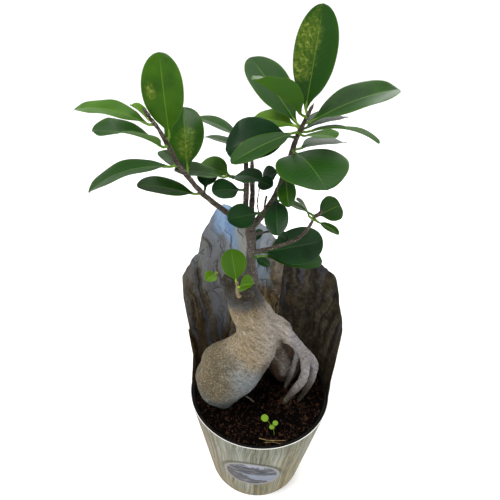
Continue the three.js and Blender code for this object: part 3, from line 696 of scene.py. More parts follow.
def inside_print():
    """A weathered rock face: pale at the left with a strip of sky, dark slabs at the right."""
    s = Shader("card_inside")
    angle, height, flat = print_place(s)
    drift = s.noise(flat, 2.5, 3)
    bent = s.shift(flat, s.join((drift - 0.5) * 0.3, 0.0))
    grain = streaks(s, bent, 16, 1.6, 6, 0.5)
    broad = streaks(s, bent, 5, 0.9, 4, 0.4)
    thin = streaks(s, bent, 50, 2.6, 4, 0.3)
    mottle = s.noise(flat, 7, 5, 0.65)
    fine = s.noise(flat, 30, 4, 0.7)
    left = s.step(angle, 0.1, -0.1)
    pale = s.ramp(
        grain * 0.6 + fine * 0.2 + mottle * 0.2,
        [
            (0.36, (0.03, 0.024, 0.016)),
            (0.44, (0.1, 0.09, 0.075)),
            (0.52, (0.18, 0.2, 0.23)),
            (0.6, (0.27, 0.28, 0.27)),
        ],
    )
    pale = s.mix(s.step(broad, 0.5, 0.62) * 0.6, pale, (0.15, 0.105, 0.045))
    pale = s.mix(s.step(broad, 0.46, 0.36) * 0.5, pale, (0.15, 0.2, 0.28))
    brown = s.ramp(
        grain * 0.5 + fine * 0.25 + mottle * 0.25,
        [
            (0.41, (0.006, 0.004, 0.002)),
            (0.47, (0.045, 0.026, 0.009)),
            (0.52, (0.1, 0.068, 0.026)),
            (0.59, (0.17, 0.15, 0.11)),
        ],
    )
    # blue-grey and cream streaks run down between the brown ones
    hue = streaks(s, bent, 11, 0.45, 3, 0.1)
    brown = s.mix(s.step(hue, 0.53, 0.6) * 0.75, brown, (0.085, 0.1, 0.125))
    brown = s.mix(s.step(hue, 0.44, 0.38) * 0.6, brown, (0.17, 0.15, 0.1))
    slab = s.ramp(
        grain * 0.5 + fine * 0.3 + mottle * 0.2,
        [
            (0.41, (0.004, 0.003, 0.002)),
            (0.47, (0.02, 0.015, 0.008)),
            (0.53, (0.048, 0.04, 0.024)),
            (0.6, (0.1, 0.092, 0.075)),
        ],
    )
    slab = s.mix(s.step(mottle, 0.5, 0.66) * 0.6, slab, (0.048, 0.03, 0.012))
    slab = s.mix(s.step(hue, 0.53, 0.6) * s.step(height, 1.2, 1.7) * 0.6, slab, (0.05, 0.055, 0.085))
    lift = (mottle - 0.5) * 0.7 + (broad - 0.5) * 0.6
    climb = s.step(height + lift, 1.45, 1.95)
    dim = s.mix(left, slab, brown)
    rock = s.mix(climb, dim, s.mix(left, slab, pale))
    # a pale stripe runs down beside the stem's left, and painted shade darkens the right side towards its
    # foot
    stripe = s.step(abs(angle - STRIPE_ANGLE + (drift - 0.5) * 0.3), 0.16, 0.05)
    stripe = stripe * s.step(height, 1.05, 1.3)
    rock = s.mix(stripe * (0.45 + s.step(grain, 0.45, 0.6) * 0.5), rock, (0.16, 0.175, 0.2))
    # painted shade low inside the sleeve
    foot = s.step(height + lift * 0.5, 1.35, 0.9) * (1 - left)
    rock = s.mix(foot * 0.5, rock, (0.02, 0.014, 0.006))

    # a strip of sky from the crest down towards the middle of the back
    run = SKY_ANGLE - angle
    slope = height - SKY_HEIGHT + run * 1.15 + (broad - 0.5) * 0.3
    near = s.step(abs(slope + run * 0.15), 0.2, 0.1)
    crest = s.step(height + (mottle - 0.5) * 0.3, 2.05, 2.25) * s.step(angle, -2.45, -2.6)
    sky_mask = s.math("MAXIMUM", near * s.step(run, -0.1, 0.05), crest)
    sky_mask = sky_mask * left * s.step(height, 1.5, 1.75)
    sky = s.mix(s.step(grain, 0.4, 0.62), (0.12, 0.23, 0.45), (0.24, 0.37, 0.55))
    haze = s.mix(s.step(broad, 0.4, 0.6), (0.16, 0.2, 0.23), (0.27, 0.27, 0.21))
    sky = s.mix(s.step(run, 0.05, 0.2) * 0.85, sky, haze)
    rock = s.mix(sky_mask * 0.85, rock, sky)
    rock = s.mix(s.step(thin, 0.44, 0.34) * 0.75, rock, (0.008, 0.006, 0.004))
    split = s.shift(s.stretch(flat, 2.0, 3.6, 1), (0.3, 0.1, 0))
    split = s.shift(split, s.join((mottle - 0.5) * 0.7, (fine - 0.5) * 0.3))
    crack = s.step(s.cells(split, 1.0, "DISTANCE_TO_EDGE"), 0.035, 0.006)
    rock = s.mix(crack * s.step(mottle, 0.48, 0.58) * 0.6, rock, (0.018, 0.008, 0.003))
    hollow = s.step(s.cells(s.stretch(bent, 3.2, 2.0, 1), 1.0), 0.3, 0.12) * s.step(broad, 0.5, 0.6)
    rock = s.mix(hollow * 0.8, rock, (0.012, 0.006, 0.003))
    paper = s.noise(flat, 220, 2)
    return s.finish(
        Base_Color=rock,
        Roughness=0.55 + grain * 0.15,
        Normal=s.bump(paper, 0.03 * MM, 0.5),
        Specular_IOR_Level=0.25,
    )


def edge_card():
    """The bare white fibre of the cut edge."""
    s = Shader("card_edge")
    fibre = s.noise(s.place(), 900, 3)
    return s.finish(
        Base_Color=s.mix(fibre, (0.62, 0.61, 0.58), (0.8, 0.79, 0.76)),
        Roughness=0.8 + fibre * 0.1,
        Normal=s.bump(fibre, 0.05 * MM, 0.5),
    )


OUTSIDE = outside_print()
INSIDE = inside_print()
EDGE = edge_card()

# ---- Leaves ----
BLADE_STATIONS = 38
HALF_ACROSS = [0.09, 0.2, 0.34, 0.5, 0.66, 0.82, 0.94, 1]
ACROSS = np.array([-u for u in reversed(HALF_ACROSS)] + [0] + HALF_ACROSS)
STALK_STATIONS = 9
OFF_MIDRIB = 9  # millimetres from the midrib, far enough to show none of it
LEAF_ATTRIBUTES = ("across", "along", "under", "tone", "blotch", "stalk", "offset")
# Yellowed patches: place across, place along, reach
BLOTCHES = {
    "leaf_right_upright": (0.5, 0.58, 0.6),
    "leaf_left_upright": (0.6, 0.55, 0.24),
    "leaf_left_blotched": (-0.05, 0.35, 0.5),
}
# Leaves that are lighter (above 0) or darker than the rest: partly their own colour, partly painted shade on
# leaves that sit in shadow
TONES_AND_SHADE = {
    "leaf_right_tip_left": -0.25,
    "leaf_right_front_left": -0.2,
    "leaf_right_broad": -0.35,
    "leaf_right_tip_right": -0.1,
    "leaf_left_tip_outer": 0.3,
    "leaf_right_upright": -0.22,
    "leaf_left_upright": 0.15,
    "leaf_left_drooping": -0.3,
    "leaf_stem_rear": -0.7,
    "leaf_shoot_upright": -0.4,
}
# Leaves whose tips curl under, and how much
CURLED = {"leaf_left_tip_front": 1.0, "leaf_right_tip_front": 0.4, "leaf_right_shaded_left": 0.6}


def leaf_rings(node):
    """A CAD leaf's tip and its cross sections from the foot, each as left, top, right and bottom."""
    mesh = welded(node)
    ends = [v for v in mesh.verts if len(v.link_edges) == 4]
    layers = []
    for start in ends:
        seen = {start}
        layer = [start]
        order = []
        while layer:
            order.append(layer)
            found = []
            for vert in layer:
                for edge in vert.link_edges:
                    other = edge.other_vert(vert)
                    if other not in seen:
                        seen.add(other)
                        found.append(other)
            layer = found
        middle = sum((v.co for v in order[1]), Vector()) / 4
        layers.append(((middle - start.co).length, order))
    # the foot lies in the plane of its first section, and the tip stands off it
    order = min(layers, key=lambda item: item[0])[1]
    rings = []
    for layer in order[1:-1]:
        a = layer[0]
        opposite = next(v for v in layer[1:] if not any(e.other_vert(a) is v for e in a.link_edges))
        others = [v for v in layer if v is not a and v is not opposite]
        rings.append([(a.co.copy(), opposite.co.copy()), (others[0].co.copy(), others[1].co.copy())])
    foot = order[0][0].co.copy()
    tip = order[-1][0].co.copy()
    mesh.free()
    # sort every section to match the widest one
    sections = []
    side = None
    top = None
    for pairs in reversed(rings):
        if side is None:
            pairs.sort(key=lambda p: -(p[0] - p[1]).length)
            (left, right), (high, low) = pairs
            fold = (left + right) / 2 - (high + low) / 2
            if fold.dot(high - low) < 0:
                high, low = low, high
            if (high - low).cross(tip - foot).dot(left - right) < 0:
                left, right = right, left
        else:
            pairs.sort(key=lambda p: -abs((p[0] - p[1]).normalized().dot(side)))
            (left, right), (high, low) = pairs
            if (left - right).dot(side) < 0:
                left, right = right, left
            if (high - low).dot(top) < 0:
                high, low = low, high
        side = (left - right).normalized()
        top = (high - low).normalized()
        sections.append((left, high, right, low))
    return sections[::-1], tip


def add_attribute(mesh, name, values):
    """Keeps one value for each corner of the mesh, for the materials to read."""
    layer = mesh.attributes.new(name, "FLOAT", "POINT")
    layer.data.foreach_set("value", np.asarray(values, np.float32))


def leaf_stalk(sections, stations, line, reach, above, thick):
    """Points and faces of a stalk from inside the twig to reach along the leaf's line, in its midrib."""
    first = Vector(line[0])
    out = Vector(sections[1][1]) + Vector(sections[1][3])
    away = (out / 2 - first).normalized()
    start = first - 1.3 * MM * away
    path = [Vector(p) for p in smooth_line(stations, line, np.linspace(0, reach, STALK_STATIONS - 1))]
    sink = [0.0] * (STALK_STATIONS - 3) + [0.1, 0.35, 0.5]
    path = [p - above * sink[i] * MM for i, p in enumerate([start] + path)]
    swollen = [1.5 * thick, 1.25 * thick]
    narrowed = [0.9 * thick, 0.8 * thick, 0.55 * thick]
    return tube(path, swollen + [0.98 * thick] * (STALK_STATIONS - 5) + narrowed, 10)


def leaf_piece(node, material, slot, rng):
    """A smooth blade and its stalk along a CAD leaf's cross sections."""
    sections, tip = leaf_rings(node)
    left, top, right, low = (np.array([s[i] for s in sections]) for i in range(4))
    middle = (top + low) / 2
    half = np.linalg.norm(left - right, axis=1) / 2
    side = (left - right) / (2 * half[:, None])
    above = (top - low) / np.linalg.norm(top - low, axis=1)[:, None]
    lift = np.einsum("ij,ij->i", (left + right) / 2 - middle, above)

    line = np.vstack([middle, np.array(tip)])
    stations = np.concatenate([[0], np.cumsum(np.linalg.norm(np.diff(line, axis=0), axis=1))])
    base = 0.55 * stations[2]
    length = stations[-1] - base
    t = np.linspace(0, 1, BLADE_STATIONS)
    v = 0.4 * t + 0.6 * (1 - (1 - t) ** 1.7)
    at = base + v * length
    centre = smooth_line(stations, line, at)
    side_at = smooth_line(stations[:-1], side, at)
    side_at /= np.linalg.norm(side_at, axis=1)[:, None]
    above_at = smooth_line(stations[:-1], above, at)
    above_at /= np.linalg.norm(above_at, axis=1)[:, None]
    # the outline tapers to the stalk and closes in a round tip
    spots = np.concatenate([[base], stations[3:]])
    widths = np.concatenate([[half[0]], half[3:], [0.0]])
    taper = smooth_line(spots, widths, at)
    round_off = np.sqrt(np.maximum(smooth_line(spots, widths**2, at), 0))
    share = np.clip((v - 0.55) / 0.2, 0, 1)
    half_at = np.maximum(taper * (1 - share) + round_off * share, 0.25 * MM)
    lift_at = smooth_line(stations, np.append(lift, 0.0), at)

    widest = float(half.max())
    phase = rng.uniform(0, 2 * math.pi)
    waves = rng.uniform(1.4, 2.4)
    ripple = rng.uniform(0.02, 0.05) * widest
    tone = TONES_AND_SHADE.get(node, rng.uniform(-0.2, 0.2))
    blotch = BLOTCHES.get(node)
    curl = CURLED.get(node, 0.0)

    points = []
    data = {name: [] for name in LEAF_ATTRIBUTES}
    for under in (0, 1):
        for i in range(BLADE_STATIONS):
            for u in ACROSS:
                reach = abs(u)
                h = lift_at[i] * (math.sqrt(u * u + 0.012) - 0.11) / 0.896
                h -= 0.045 * half_at[i] * u**4
                h += ripple * reach**3 * math.sin(waves * 2 * math.pi * v[i] + phase + (0.9 if u > 0 else 0))
                h -= curl * 0.5 * half_at[i] * max(0.0, v[i] - 0.72) * reach * 4
                rib = math.exp(-((u * half_at[i] / (0.55 * MM)) ** 2))
                if under:
                    h -= 0.16 * MM * (1 - 0.5 * reach) + (0.55 * (1 - v[i]) + 0.12) * MM * rib
                else:
                    h += 0.16 * MM * (1 - 0.5 * reach) - 0.2 * MM * rib * (1 - 0.6 * v[i])
                points.append(centre[i] + side_at[i] * (u * half_at[i]) + above_at[i] * h)
                data["across"].append(u)
                data["along"].append(v[i])
                data["under"].append(under)
                data["tone"].append(tone)
                data["stalk"].append(0)
                data["offset"].append(u * half_at[i] / MM)
                if blotch:
                    far = math.hypot((u - blotch[0]) * 0.6, v[i] - blotch[1]) / blotch[2]
                    data["blotch"].append(max(0.0, 1 - far) if not under else 0)
                else:
                    data["blotch"].append(0)
    n = len(ACROSS)
    count = BLADE_STATIONS * n
    faces = grid_faces(BLADE_STATIONS, n)
    faces += grid_faces(BLADE_STATIONS, n, start=count, flip=True)
    for i in range(BLADE_STATIONS - 1):
        for k, turn in ((0, False), (n - 1, True)):
            a, b = i * n + k, (i + 1) * n + k
            quad = [a, b, count + b, count + a]
            faces.append(quad[::-1] if turn else quad)
    for k in range(n - 1):
        faces.append([k + 1, k, count + k, count + k + 1])
        a = (BLADE_STATIONS - 1) * n + k
        faces.append([a, a + 1, count + a + 1, count + a])

    reach = base + 0.09 * length
    stalk_points, stalk_faces = leaf_stalk(
        sections, stations, line, reach, Vector(above_at[0]), float(half[0])
    )
    faces += [[len(points) + i for i in face] for face in stalk_faces]
    points += stalk_points
    on_stalk = {"tone": tone, "stalk": 1, "offset": OFF_MIDRIB}
    for name in LEAF_ATTRIBUTES:
        data[name] += [on_stalk.get(name, 0)] * len(stalk_points)

    mesh = mesh_of(node + "_blade", points, faces)
    faced_outwards(mesh)
    for name, values in data.items():
        add_attribute(mesh, name, values)
    shape = new_object(node + "_blade", mesh, material)
    piece(shape, slot, node)


LEAF_FINISH = {"mature_leaf": MATURE, "inner_leaf": SHADED_INNER_LEAF, "young_leaf": YOUNG}
slot_of = {entry["node"]: entry["material_slot"] for entry in frame["record"]["subparts"]}
leaf_rng = random.Random(11)
for node in sorted(frame["nodes"]):
    if node.startswith("leaf_"):
        leaf_piece(node, LEAF_FINISH[slot_of[node]], slot_of[node], leaf_rng)


# ---- Wood ----
FORK = np.array((-12, 4, 240)) * MM  # where the branches leave the stem
# In mm: the rootstock's rough top starts at this height, and its smooth lobe ends at this x
GRAFT_HEIGHT = 190
LOBE_END = 4


def grown_together(name, nodes, voxel, smoothing, extra=()):
    """One organic skin over several CAD nodes, their clearances closed, and over extra tubes."""
    parts = Collector()
    for node in nodes:
        mesh = welded(node)
        mesh.normal_update()
        points = [v.co + v.normal * 0.22 * MM for v in mesh.verts]
        parts.add(points, [[v.index for v in f.verts] for f in mesh.faces])
        mesh.free()
    for points, faces in extra:
        parts.add(points, faces)
    shape = new_object(name, parts.mesh(name))
    remesh = shape.modifiers.new("skin", "REMESH")
    remesh.mode = "VOXEL"
    remesh.voxel_size = voxel
    soften = shape.modifiers.new("soften", "SMOOTH")
    soften.factor = 0.5
    soften.iterations = smoothing
    applied(shape)
    return shape


def softened(shape, rounds, inside):
    """Rounds off the part of a shape where inside(point in mm) is true."""
    group = shape.vertex_groups.new(name="soft")
    group.add([v.index for v in shape.data.vertices if inside(v.co / MM)], 1.0, "REPLACE")
    soften = shape.modifiers.new("soften", "SMOOTH")
    soften.factor = 0.5
    soften.iterations = rounds
    soften.vertex_group = group.name
    applied(shape)
    shape.vertex_groups.clear()


def pushed(shape, depth):
    """Moves every point along its normal by depth(point in mm), in mm."""
    mesh = shape.data
    count = len(mesh.vertices)
    points = np.empty(count * 3)
    normals = np.empty(count * 3)
    mesh.vertices.foreach_get("co", points)
    mesh.vertices.foreach_get("normal", normals)
    points = points.reshape(-1, 3)
    normals = normals.reshape(-1, 3)
    amounts = np.array([depth(Vector(p) / MM) for p in points])
    mesh.vertices.foreach_set("co", (points + normals * amounts[:, None] * MM).ravel())
    mesh.polygons.foreach_set("use_smooth", [True] * len(mesh.polygons))
    mesh.update()


def portion(value, start, reach):
    """0 below start, 1 a reach beyond it, and straight between."""
    return min(max((value - start) / reach, 0), 1)


def bark_depth(p):
    """Lumps, wrinkles and grit of the rootstock's bark."""
    lump = noise.noise(p / 13) * 1.3
    wrinkle = noise.noise(Vector((p.x / 6, p.y / 6, p.z / 1.9))) * 0.35
    grit = noise.noise(p / 2.6) * 0.25
    rough_top = portion(p.z, GRAFT_HEIGHT, 8)
    rooty = portion(p.x, 16, 8)
    thick = 1 - 0.65 * rooty
    # the lobe swells out above a crease under the neck, and the roots thin out towards the soil
    swell = 3.6 * math.exp(-(((p.x + 40) / 16) ** 2) - ((p.z - 136) / 15) ** 2)
    crease = -2.6 * math.exp(-(((p.z - 150 - 0.5 * (p.x + 22)) / 3.2) ** 2)) * portion(-p.x, 4, 10)
    thin = -1.1 * rooty * portion(-p.z, -118, 18)
    fine = (lump * thick + wrinkle + grit) * (1 + 0.2 * rough_top) + rough_top * noise.noise(p / 4.5) * 1.4
    return fine + swell + crease + thin


def twig_depth(p):
    """Slimmer, slightly knobbly twigs."""
    slim = -0.42 if p.z > 262 or p.x > -4 else -0.2
    return slim + noise.noise(p / 5) * 0.35 + noise.noise(Vector((p.x / 4, p.y / 4, p.z / 1.6))) * 0.25


def bud(node):
    """A pointed bud on the end of a branch, as a tube."""
    points = corners(node)
    end = points[np.argmax(np.linalg.norm(points - FORK, axis=1))]
    near = points[np.linalg.norm(points - end, axis=1) < 14 * MM].mean(axis=0)
    along = Vector(end - near).normalized()
    path = [Vector(end) + along * d * MM for d in (-2, 0.5, 2.5, 4.5, 6.5)]
    return tube(path, [1.3 * MM, 1.6 * MM, 1.5 * MM, 0.9 * MM, 0.5 * MM], 9)


rootstock = grown_together("rootstock", ["root_trunk"], 0.75 * MM, 6)
softened(rootstock, 180, lambda p: p.x < LOBE_END and p.z < GRAFT_HEIGHT)
pushed(rootstock, bark_depth)
rootstock.data.materials.append(BARK)
piece(rootstock, "pale_bark", "root_trunk")

WOODY = [node for node in frame["nodes"] if slot_of[node] == "twig_bark"]
BUDDED = ("left_branch", "right_branch", "middle_branch", "back_branch", "low_branch")
branches = grown_together("branches", WOODY, 0.42 * MM, 3, [bud(node) for node in BUDDED])
pushed(branches, twig_depth)
branches.data.materials.append(TWIG)
piece(branches, "twig_bark", *WOODY)

shoot = grown_together("green_front_shoot", ["front_shoot"], 0.3 * MM, 3)
pushed(shoot, lambda p: noise.noise(p / 2) * 0.12)
shoot.data.materials.append(SHOOT)
piece(shoot, "green_shoot", "front_shoot")

sprout = grown_together("weed_seedling", ["seedling"], 0.2 * MM, 2)
pushed(sprout, lambda p: -0.5)
sprout.data.materials.append(YOUNG)
sprout.data.polygons.foreach_set("use_smooth", [True] * len(sprout.data.polygons))
piece(sprout, "young_leaf", "seedling")


# ---- Pot ----
def revolved(profile, segments):
    """Points and faces of a profile of (radius, height) turned about the pot's axis."""
    points = []
    for radius, height in profile:
        for k in range(segments):
            angle = 2 * math.pi * k / segments
            points.append((radius * math.cos(angle), radius * math.sin(angle), height))
    return points, grid_faces(len(profile), segments, closed=True)


POT_SEGMENTS = 128
POT_WALL = 1.3 * MM
POT_FLOOR = 1.8 * MM
LIP_DROP = 9 * MM
LIP_OUT = 1.6 * MM
LIP_ROUND = 1.1 * MM
LIP_STEPS = 6
DRAIN_HOLES = 6
DRAIN_CIRCLE = 27 * MM
DRAIN_RADIUS = 4 * MM
pot_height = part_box("nursery_pot")[1][2]
lip_radius = radius_at("nursery_pot", pot_height - MM, pot_height + MM)
foot_radius = radius_at("nursery_pot", -MM, MM)


def on_wall(height, inset=0.0):
    """A point of the profile on the wall's outside, or inset from it."""
    radius = foot_radius + (lip_radius - LIP_OUT - foot_radius) * height / pot_height
    return radius - inset, height


def on_lip(height, inset=0.0):
    """A point of the profile on the lip's outside, or inset from it."""
    return foot_radius + (lip_radius - foot_radius) * height / pot_height - inset, height


def pot_profile():
    """Half a section of the pot, from the middle of its underside round to the middle of its floor."""
    lip_foot = pot_height - LIP_DROP
    crown = pot_height - LIP_ROUND
    outer = on_lip(crown)[0]
    inner = on_wall(pot_height, POT_WALL)[0]
    profile = [(0, 0), (foot_radius - 1.5 * MM, 0), (foot_radius - 0.4 * MM, 0.4 * MM)]
    profile += [on_wall(1.4 * MM), on_wall(lip_foot - 0.6 * MM)]
    profile += [on_lip(lip_foot, 0.5 * MM), on_lip(lip_foot + 0.6 * MM), on_lip(crown)]
    for k in range(1, LIP_STEPS):
        angle = math.pi * k / LIP_STEPS
        inwards = (1 - math.cos(angle)) / 2
        radius = outer * (1 - inwards) + inner * inwards
        profile.append((radius, crown + LIP_ROUND * math.sin(angle)))
    floor_edge = on_wall(0, 3 * MM)[0]
    profile += [(inner, crown), on_wall(3 * MM, POT_WALL), (floor_edge, POT_FLOOR), (0, POT_FLOOR)]
    return profile


def make_pot():
    """The nursery pot, with its drain holes cut through the floor."""
    mesh = mesh_of("pot_shell", *revolved(pot_profile(), POT_SEGMENTS))
    faced_outwards(mesh, merge=0.01 * MM)
    pot = new_object("pot_shell", mesh, POT)
    drills = Collector()
    for k in range(DRAIN_HOLES):
        angle = 2 * math.pi * k / DRAIN_HOLES
        centre = Vector((DRAIN_CIRCLE * math.cos(angle), DRAIN_CIRCLE * math.sin(angle), 0))
        drills.add(*tube([centre - 4 * MM * UP, centre + 6 * MM * UP], [DRAIN_RADIUS] * 2, 32))
    drill = new_object("drill", drills.mesh("drill"))
    cut = pot.modifiers.new("drain_holes", "BOOLEAN")
    cut.object = drill
    cut.solver = "EXACT"
    applied(pot)
    bpy.data.objects.remove(drill)
    pot.data.set_sharp_from_angle(angle=math.radians(40))
    piece(pot, "pot_plastic", "nursery_pot")


make_pot()


# ---- Card sleeve ----
CARD = 0.55 * MM
LAP_GAP = 0.1 * MM
SEAM = math.radians(168)  # the card's ends overlap here, behind the stem
OVERLAP = math.radians(13)
COLUMNS = 420
ROWS = 46


def card_profile():
    """The sleeve's inner radius at its foot, its flare, and its top edge as angles and heights."""
    points = corners("card_sleeve")
    angles = np.arctan2(points[:, 0], -points[:, 1])
    columns = {}
    for angle, z in zip(np.round(angles, 3), points[:, 2]):
        columns[angle] = max(columns.get(angle, 0), z)
    stations = np.array(sorted(columns))
    tops = np.array([columns[a] for a in stations])
    radii = np.hypot(points[:, 0], points[:, 1])
    low_z = points[:, 2].min()
    foot = radii[points[:, 2] < low_z + 0.1 * MM].min()
    high = int(np.argmax(points[:, 2]))
    near_top = points[:, 2] > points[high, 2] - 0.1 * MM
    flare = (radii[near_top].min() - foot) / (points[high, 2] - low_z)
    return foot, low_z, flare, stations, tops


def make_sleeve():
    """The card: a printed cone, level in front, whose ragged back stands up as a screen."""
    foot, low_z, flare, stations, tops = card_profile()
    stations = np.concatenate([stations - 2 * math.pi, stations, stations + 2 * math.pi])
    tops = np.tile(tops, 3)
    front_height = tops.min()

    def top_edge(angle):
        height = float(np.interp(angle, stations, tops))
        free = portion(height, front_height, 12 * MM)
        broken = noise.noise(Vector((angle * 6, 0.3, 0))) * 2.2
        frayed = noise.noise(Vector((angle * 21, 4.2, 0))) * 1.3
        return height + free * (broken + frayed) * MM

    # one strip of card that starts at the seam, goes once round and laps over its own start
    angles = np.linspace(SEAM - 2 * math.pi, SEAM + OVERLAP, COLUMNS)
    sheets = []
    for out in (0, CARD):
        for r in range(ROWS):
            for angle in angles:
                t = r / (ROWS - 1)
                height = low_z + t * (top_edge(angle) - low_z)
                lap = portion(angle, SEAM - 0.05, 0.05)
                free = portion(height, 105 * MM, 70 * MM)
                bow = free * (0.5 * math.sin(3 * angle + 1) + 0.3 * math.sin(7 * angle)) * MM
                radius = foot + flare * (height - low_z) + out + lap * (CARD + LAP_GAP) + bow
                sheets.append((radius * math.sin(angle), -radius * math.cos(angle), height))
    count = ROWS * COLUMNS
    shape = Collector()
    shape.add(sheets, [])
    inside = grid_faces(ROWS, COLUMNS, flip=True)
    outside = grid_faces(ROWS, COLUMNS, start=count)
    rim = []
    for c in range(COLUMNS - 1):
        a = (ROWS - 1) * COLUMNS + c
        rim.append([a, a + 1, count + a + 1, count + a][::-1])
        rim.append([c, c + 1, count + c + 1, count + c])
    for r in range(ROWS - 1):
        a, b = r * COLUMNS, (r + 1) * COLUMNS
        inside.append([a, b, count + b, count + a][::-1])
        a, b = a + COLUMNS - 1, b + COLUMNS - 1
        rim.append([a, b, count + b, count + a])
    for slot, faces in enumerate((inside, outside, rim)):
        shape.faces += faces
        shape.slots += [slot] * len(faces)
    mesh = shape.mesh("sleeve_card")
    flat = mesh.uv_layers.new(name="print")
    where = [(angle, p[2] / DECIMETRE) for angle, p in zip(np.tile(angles, 2 * ROWS), sheets)]
    for loop in mesh.loops:
        flat.data[loop.index].uv = where[loop.vertex_index]
    sleeve = new_object("sleeve_card", mesh, INSIDE, OUTSIDE, EDGE)
    mesh.set_sharp_from_angle(angle=math.radians(50))
    piece(sleeve, "printed_card", "card_sleeve")


make_sleeve()


# ---- Soil ----
def group_tree(name, inputs):
    """A Geometry Nodes tree with named inputs, and the identifiers of those inputs."""
    tree = bpy.data.node_groups.new(name, "GeometryNodeTree")
    tree.interface.new_socket("Geometry", in_out="INPUT", socket_type="NodeSocketGeometry")
    names = {}
    for label, kind in inputs.items():
        names[label] = tree.interface.new_socket(label, in_out="INPUT", socket_type=kind).identifier
    tree.interface.new_socket("Geometry", in_out="OUTPUT", socket_type="NodeSocketGeometry")
    return tree, names


class Geometry:
    """Adds Geometry Nodes to a tree and links them as they are named."""

    def __init__(self, tree):
        self.tree = tree
        self.start = tree.nodes.new("NodeGroupInput")

    def given(self, label):
        return self.start.outputs[label]

    def node(self, kind, settings=None, inputs=None, output=0):
        node = self.tree.nodes.new(kind)
        for name, value in (settings or {}).items():
            setattr(node, name, value)
        for name, value in (inputs or {}).items():
            if isinstance(value, bpy.types.NodeSocket):
                self.tree.links.new(value, node.inputs[name])
            else:
                node.inputs[name].default_value = value
        return node.outputs[output]

    def scatter(self, shape, low_scale, high_scale, tilt):
        """Puts the shape all over the given surface, turned and sized at random, and ends the tree."""
        seed = self.given("Seed")
        spots = self.node(
            "GeometryNodeDistributePointsOnFaces",
            inputs={"Mesh": self.given("Geometry"), "Density": self.given("Density"), "Seed": seed},
        )
        turn = self.node(
            "FunctionNodeRandomValue",
            {"data_type": "FLOAT_VECTOR"},
            {0: (-tilt, -tilt, 0), 1: (tilt, tilt, 2 * math.pi), "Seed": seed},
        )
        size = self.node(
            "FunctionNodeRandomValue",
            {"data_type": "FLOAT_VECTOR"},
            {0: low_scale, 1: high_scale, "Seed": 3},
        )
        copies = self.node(
            "GeometryNodeInstanceOnPoints",
            inputs={"Points": spots, "Instance": shape, "Rotation": turn, "Scale": size},
        )
        real = self.node("GeometryNodeRealizeInstances", inputs={0: copies})
        dressed = self.node("GeometryNodeSetMaterial", inputs={"Geometry": real, "Material": PEAT_FIBRE})
        end = self.tree.nodes.new("NodeGroupOutput")
        self.tree.links.new(dressed, end.inputs[0])


def crumb_tree():
    """Lumpy crumbs of peat, laid over a surface."""
    tree, names = group_tree(
        "soil_crumbs", {"Density": "NodeSocketFloat", "Size": "NodeSocketFloat", "Seed": "NodeSocketInt"}
    )
    g = Geometry(tree)
    ball = g.node("GeometryNodeMeshIcoSphere", inputs={"Radius": g.given("Size"), "Subdivisions": 2})
    wobble = g.node(
        "ShaderNodeTexNoise", {"noise_dimensions": "3D"}, {"Scale": 900.0, "Detail": 1.0}, output="Color"
    )
    off = g.node("ShaderNodeVectorMath", {"operation": "SUBTRACT"}, {0: wobble, 1: (0.5, 0.5, 0.5)})
    offset = g.node("ShaderNodeVectorMath", {"operation": "MULTIPLY"}, {0: off, 1: (1.6 * MM,) * 3})
    lump = g.node("GeometryNodeSetPosition", inputs={"Geometry": ball, "Offset": offset})
    g.scatter(lump, (0.5, 0.5, 0.35), (1.5, 1.3, 1.0), 1.2)
    return tree, names


def fibre_tree():
    """Bent threads of peat, laid over a surface."""
    tree, names = group_tree(
        "peat_fibres",
        {
            "Density": "NodeSocketFloat",
            "Reach": "NodeSocketVector",
            "Bend": "NodeSocketVector",
            "Thickness": "NodeSocketFloat",
            "Seed": "NodeSocketInt",
        },
    )
    g = Geometry(tree)
    back = g.node("ShaderNodeVectorMath", {"operation": "SCALE"}, {0: g.given("Reach"), "Scale": -1.0})
    line = g.node(
        "GeometryNodeCurveQuadraticBezier",
        inputs={"Resolution": 7, "Start": back, "Middle": g.given("Bend"), "End": g.given("Reach")},
    )
    ring = g.node(
        "GeometryNodeCurvePrimitiveCircle", inputs={"Resolution": 5, "Radius": g.given("Thickness")}
    )
    thread = g.node(
        "GeometryNodeCurveToMesh", inputs={"Curve": line, "Profile Curve": ring, "Fill Caps": True}
    )
    g.scatter(thread, (0.5, 0.5, 0.8), (1.4, 1.4, 1.2), 0.3)
    return tree, names


def scattered(surface, tree, names, values):
    """Runs a scatter tree over a copy of the surface and gives the plain mesh that it makes."""
    shape = new_object("scatter", surface.copy())
    run = shape.modifiers.new("scatter", "NODES")
    run.node_group = tree
    for label, value in values.items():
        run[names[label]] = value
    mesh = applied(shape)
    bpy.data.objects.remove(shape)
    return mesh


SOIL_RINGS = 70
SOIL_SECTORS = 200
ROOT_STEPS = 6
BED = (SOIL, PEAT_FIBRE, STRAW, ROOTLET)
FIBRE_SLOT = BED.index(PEAT_FIBRE)
STRAW_SLOT = BED.index(STRAW)
ROOTLET_SLOT = BED.index(ROOTLET)
# Loose bits on the soil, in mm: path of (x, y, height above the soil), thickness, slot
LITTER = [
    ([(2, -50, 0.6), (9, -51, 0.9), (17, -50.5, 0.8), (23, -49.5, 0.5)], 0.35, STRAW_SLOT),
    ([(6, -53, 0.5), (13, -52, 0.8), (19, -53, 0.5)], 0.25, STRAW_SLOT),
    ([(-17, -11, 3.2), (-12, -13, 2.6), (-8, -15, 1.8), (-4, -17.5, 0.4)], 0.75, ROOTLET_SLOT),
    ([(-30, -17, 3.5), (-29.5, -21, 1.8), (-27, -24, 0.8), (-25, -25, 0.2)], 0.8, ROOTLET_SLOT),
]
# Where the soil is heaped against the wood, in mm: x, y, rise, reach
HEAPS = ((-30, -16, 3.0, 15), (25, -14, 5, 9), (20, -4, 3, 12))
